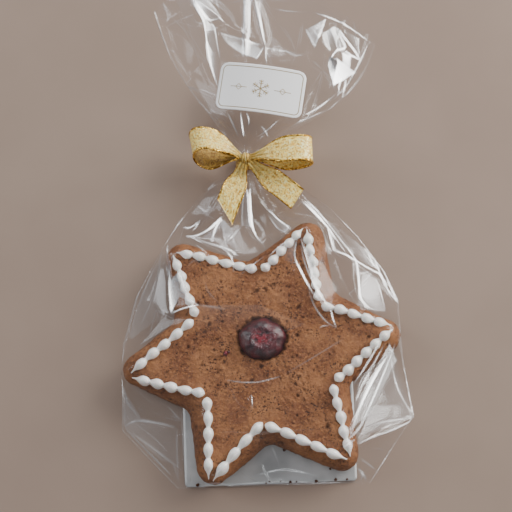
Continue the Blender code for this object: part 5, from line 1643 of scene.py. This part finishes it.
def foil_bar(start, end, half_width, rest):
    """One thin raised bar of foil on the sticker, four-cornered and slightly domed."""
    start, end = np.array(start, float), np.array(end, float)
    along = unit(end - start)
    across = half_width * np.array([-along[1], along[0]])
    steps = np.linspace(0, 1, 7)[:, None]
    line = start + steps * (end - start)
    flat = np.stack([line - across, line + across], axis=1)
    level = rest - LABEL_BEND * flat[..., 0] ** 2 + LABEL_THICKNESS
    plan = turned(flat.reshape(-1, 2), LABEL_TURN, LABEL_CENTRE).reshape(flat.shape)
    low = np.dstack([plan, level - 0.02])
    high = np.dstack([plan, level + 0.07])
    return np.concatenate([high, low[:, ::-1]], axis=1)


def build_foil(finish, rest):
    """A plain snow crystal of six barbed arms, with a rule and a small lozenge on each side of it."""
    bars = []
    for arm in range(6):
        bearing = 60 * arm + 30
        tip = polar(3.9, bearing)
        bars.append(((0, 0), tip, 0.17))
        for share in (0.5, 0.76):
            root = share * tip
            for turn in (-55, 55):
                bars.append((root, root + polar(1.15, bearing + turn), 0.12))
    for side in (-1, 1):
        bars.append(((side * 6.0, 0), (side * 13.2, 0), 0.10))
        for corner in ((1, 1), (1, -1), (-1, 1), (-1, -1)):
            middle = np.array([side * 9.6, 0])
            bars.append((middle + [1.3 * corner[0], 0], middle + [0, 1.3 * corner[1]], 0.10))
    points, faces = [], []
    for start, end, half_width in bars:
        rings = foil_bar(start, end, half_width, rest)
        base = sum(len(block) for block in points)
        rows, columns = rings.shape[:2]
        points.append(rings.reshape(-1, 3))
        faces.append(grid_faces(rows, columns, closed=True) + base)
        faces.append(np.array([[0, 1, 2, 3]])[:, ::-1] + base)
        faces.append(np.array([[0, 1, 2, 3]]) + base + (rows - 1) * columns)
    return add_piece("sticker_foil", np.vstack(points), faces, finish)


# ---- stage --------------------------------------------------------------------------------------


def build_floor():
    """The plain table that the pack lies on."""
    finish = Finish("table", (0.50, 0.43, 0.37), 0.65)
    tone = finish.spread(finish.noise(60.0, 3.0), 0.3, 0.7)
    colour = finish.blend(tone, (0.288, 0.210, 0.165), (0.310, 0.228, 0.180))
    finish.use(Base_Color=colour)
    mesh = bpy.data.meshes.new("table")
    corners = [(TABLE_HALF * x, TABLE_HALF * y, 0) for x, y in ((-1, -1), (1, -1), (1, 1), (-1, 1))]
    mesh.from_pydata(corners, [], [(0, 1, 2, 3)])
    mesh.materials.append(finish.material)
    table = add_object("table", mesh)


def build_camera():
    """Looks down on the pack, leaning a little to its base and to its right, so that it fills the square."""
    target = Vector((OFFSET + CAMERA_TARGET) * MM)
    data = bpy.data.cameras.new("camera")
    data.sensor_width = SENSOR_WIDTH
    data.lens = SENSOR_WIDTH * CAMERA_DISTANCE / (VIEW_WIDTH * MM)
    camera = add_object("camera", data)
    lean_x, lean_y = math.tan(math.radians(CAMERA_TO_RIGHT)), -math.tan(math.radians(CAMERA_TO_BASE))
    back = Vector((lean_x, lean_y, 1.0)).normalized()
    right = Vector((0, 1, 0)).cross(back).normalized()
    turn = Matrix((right, back.cross(right), back)).transposed().to_4x4()
    camera.matrix_world = Matrix.Translation(target + back * CAMERA_DISTANCE) @ turn
    bpy.context.scene.camera = camera


def add_light(name, place, size, power, colour):
    """A soft oblong light that faces the middle of the pack."""
    data = bpy.data.lights.new(name, "AREA")
    data.shape = "RECTANGLE"
    data.size, data.size_y = size
    data.energy = power
    data.color = colour
    light = add_object(name, data)
    light.location = place
    aim = Vector((0.0, 0.0, 0.01)) - Vector(place)
    light.rotation_euler = aim.to_track_quat("-Z", "Y").to_euler()


def build_lights():
    """The oblong lights and the even light of the room."""
    for name, (place, size, power, colour) in LIGHTS.items():
        add_light(name, place, size, power, colour)
    world = bpy.data.worlds.new("room")
    world.use_nodes = True
    background = world.node_tree.nodes["Background"]
    background.inputs["Color"].default_value = ROOM_COLOUR
    background.inputs["Strength"].default_value = ROOM_STRENGTH
    bpy.context.scene.world = world


# ---- all of it ----------------------------------------------------------------------------------


def build_pack():
    """Every piece, from the biscuit out to the ribbon and the sticker."""
    dough = gingerbread()
    build_cookie(dough)
    build_crumbs(dough)
    cherry = candied_cherry()
    build_cherry(cherry)
    build_cherry_scraps(cherry)
    build_icing(royal_icing())
    build_card(silver_card())
    label_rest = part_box("label")[1].z / MM - LABEL_THICKNESS
    build_film(clear_film(), label_rest)
    gold = gold_ribbon()
    bag_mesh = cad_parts["bag"].data
    bag = BVHTree.FromPolygons([v.co for v in bag_mesh.vertices], [p.vertices for p in bag_mesh.polygons])
    build_tie(gold)
    build_knot(gold)
    build_loop("bow_loop_left", "ribbon_loop_left", gold, **LEFT_LOOP)
    build_loop("bow_loop_right", "ribbon_loop_right", gold, **RIGHT_LOOP)
    build_tail("bow_tail_left", "ribbon_tail_left", LEFT_TAIL_END, gold, bag, -4.2)
    build_tail("bow_tail_right", "ribbon_tail_right", RIGHT_TAIL_END, gold, bag, 0.6)
    build_label(label_paper(), label_rest)
    build_foil(gold_foil(), label_rest)


build_pack()
build_floor()
build_lights()
build_camera()
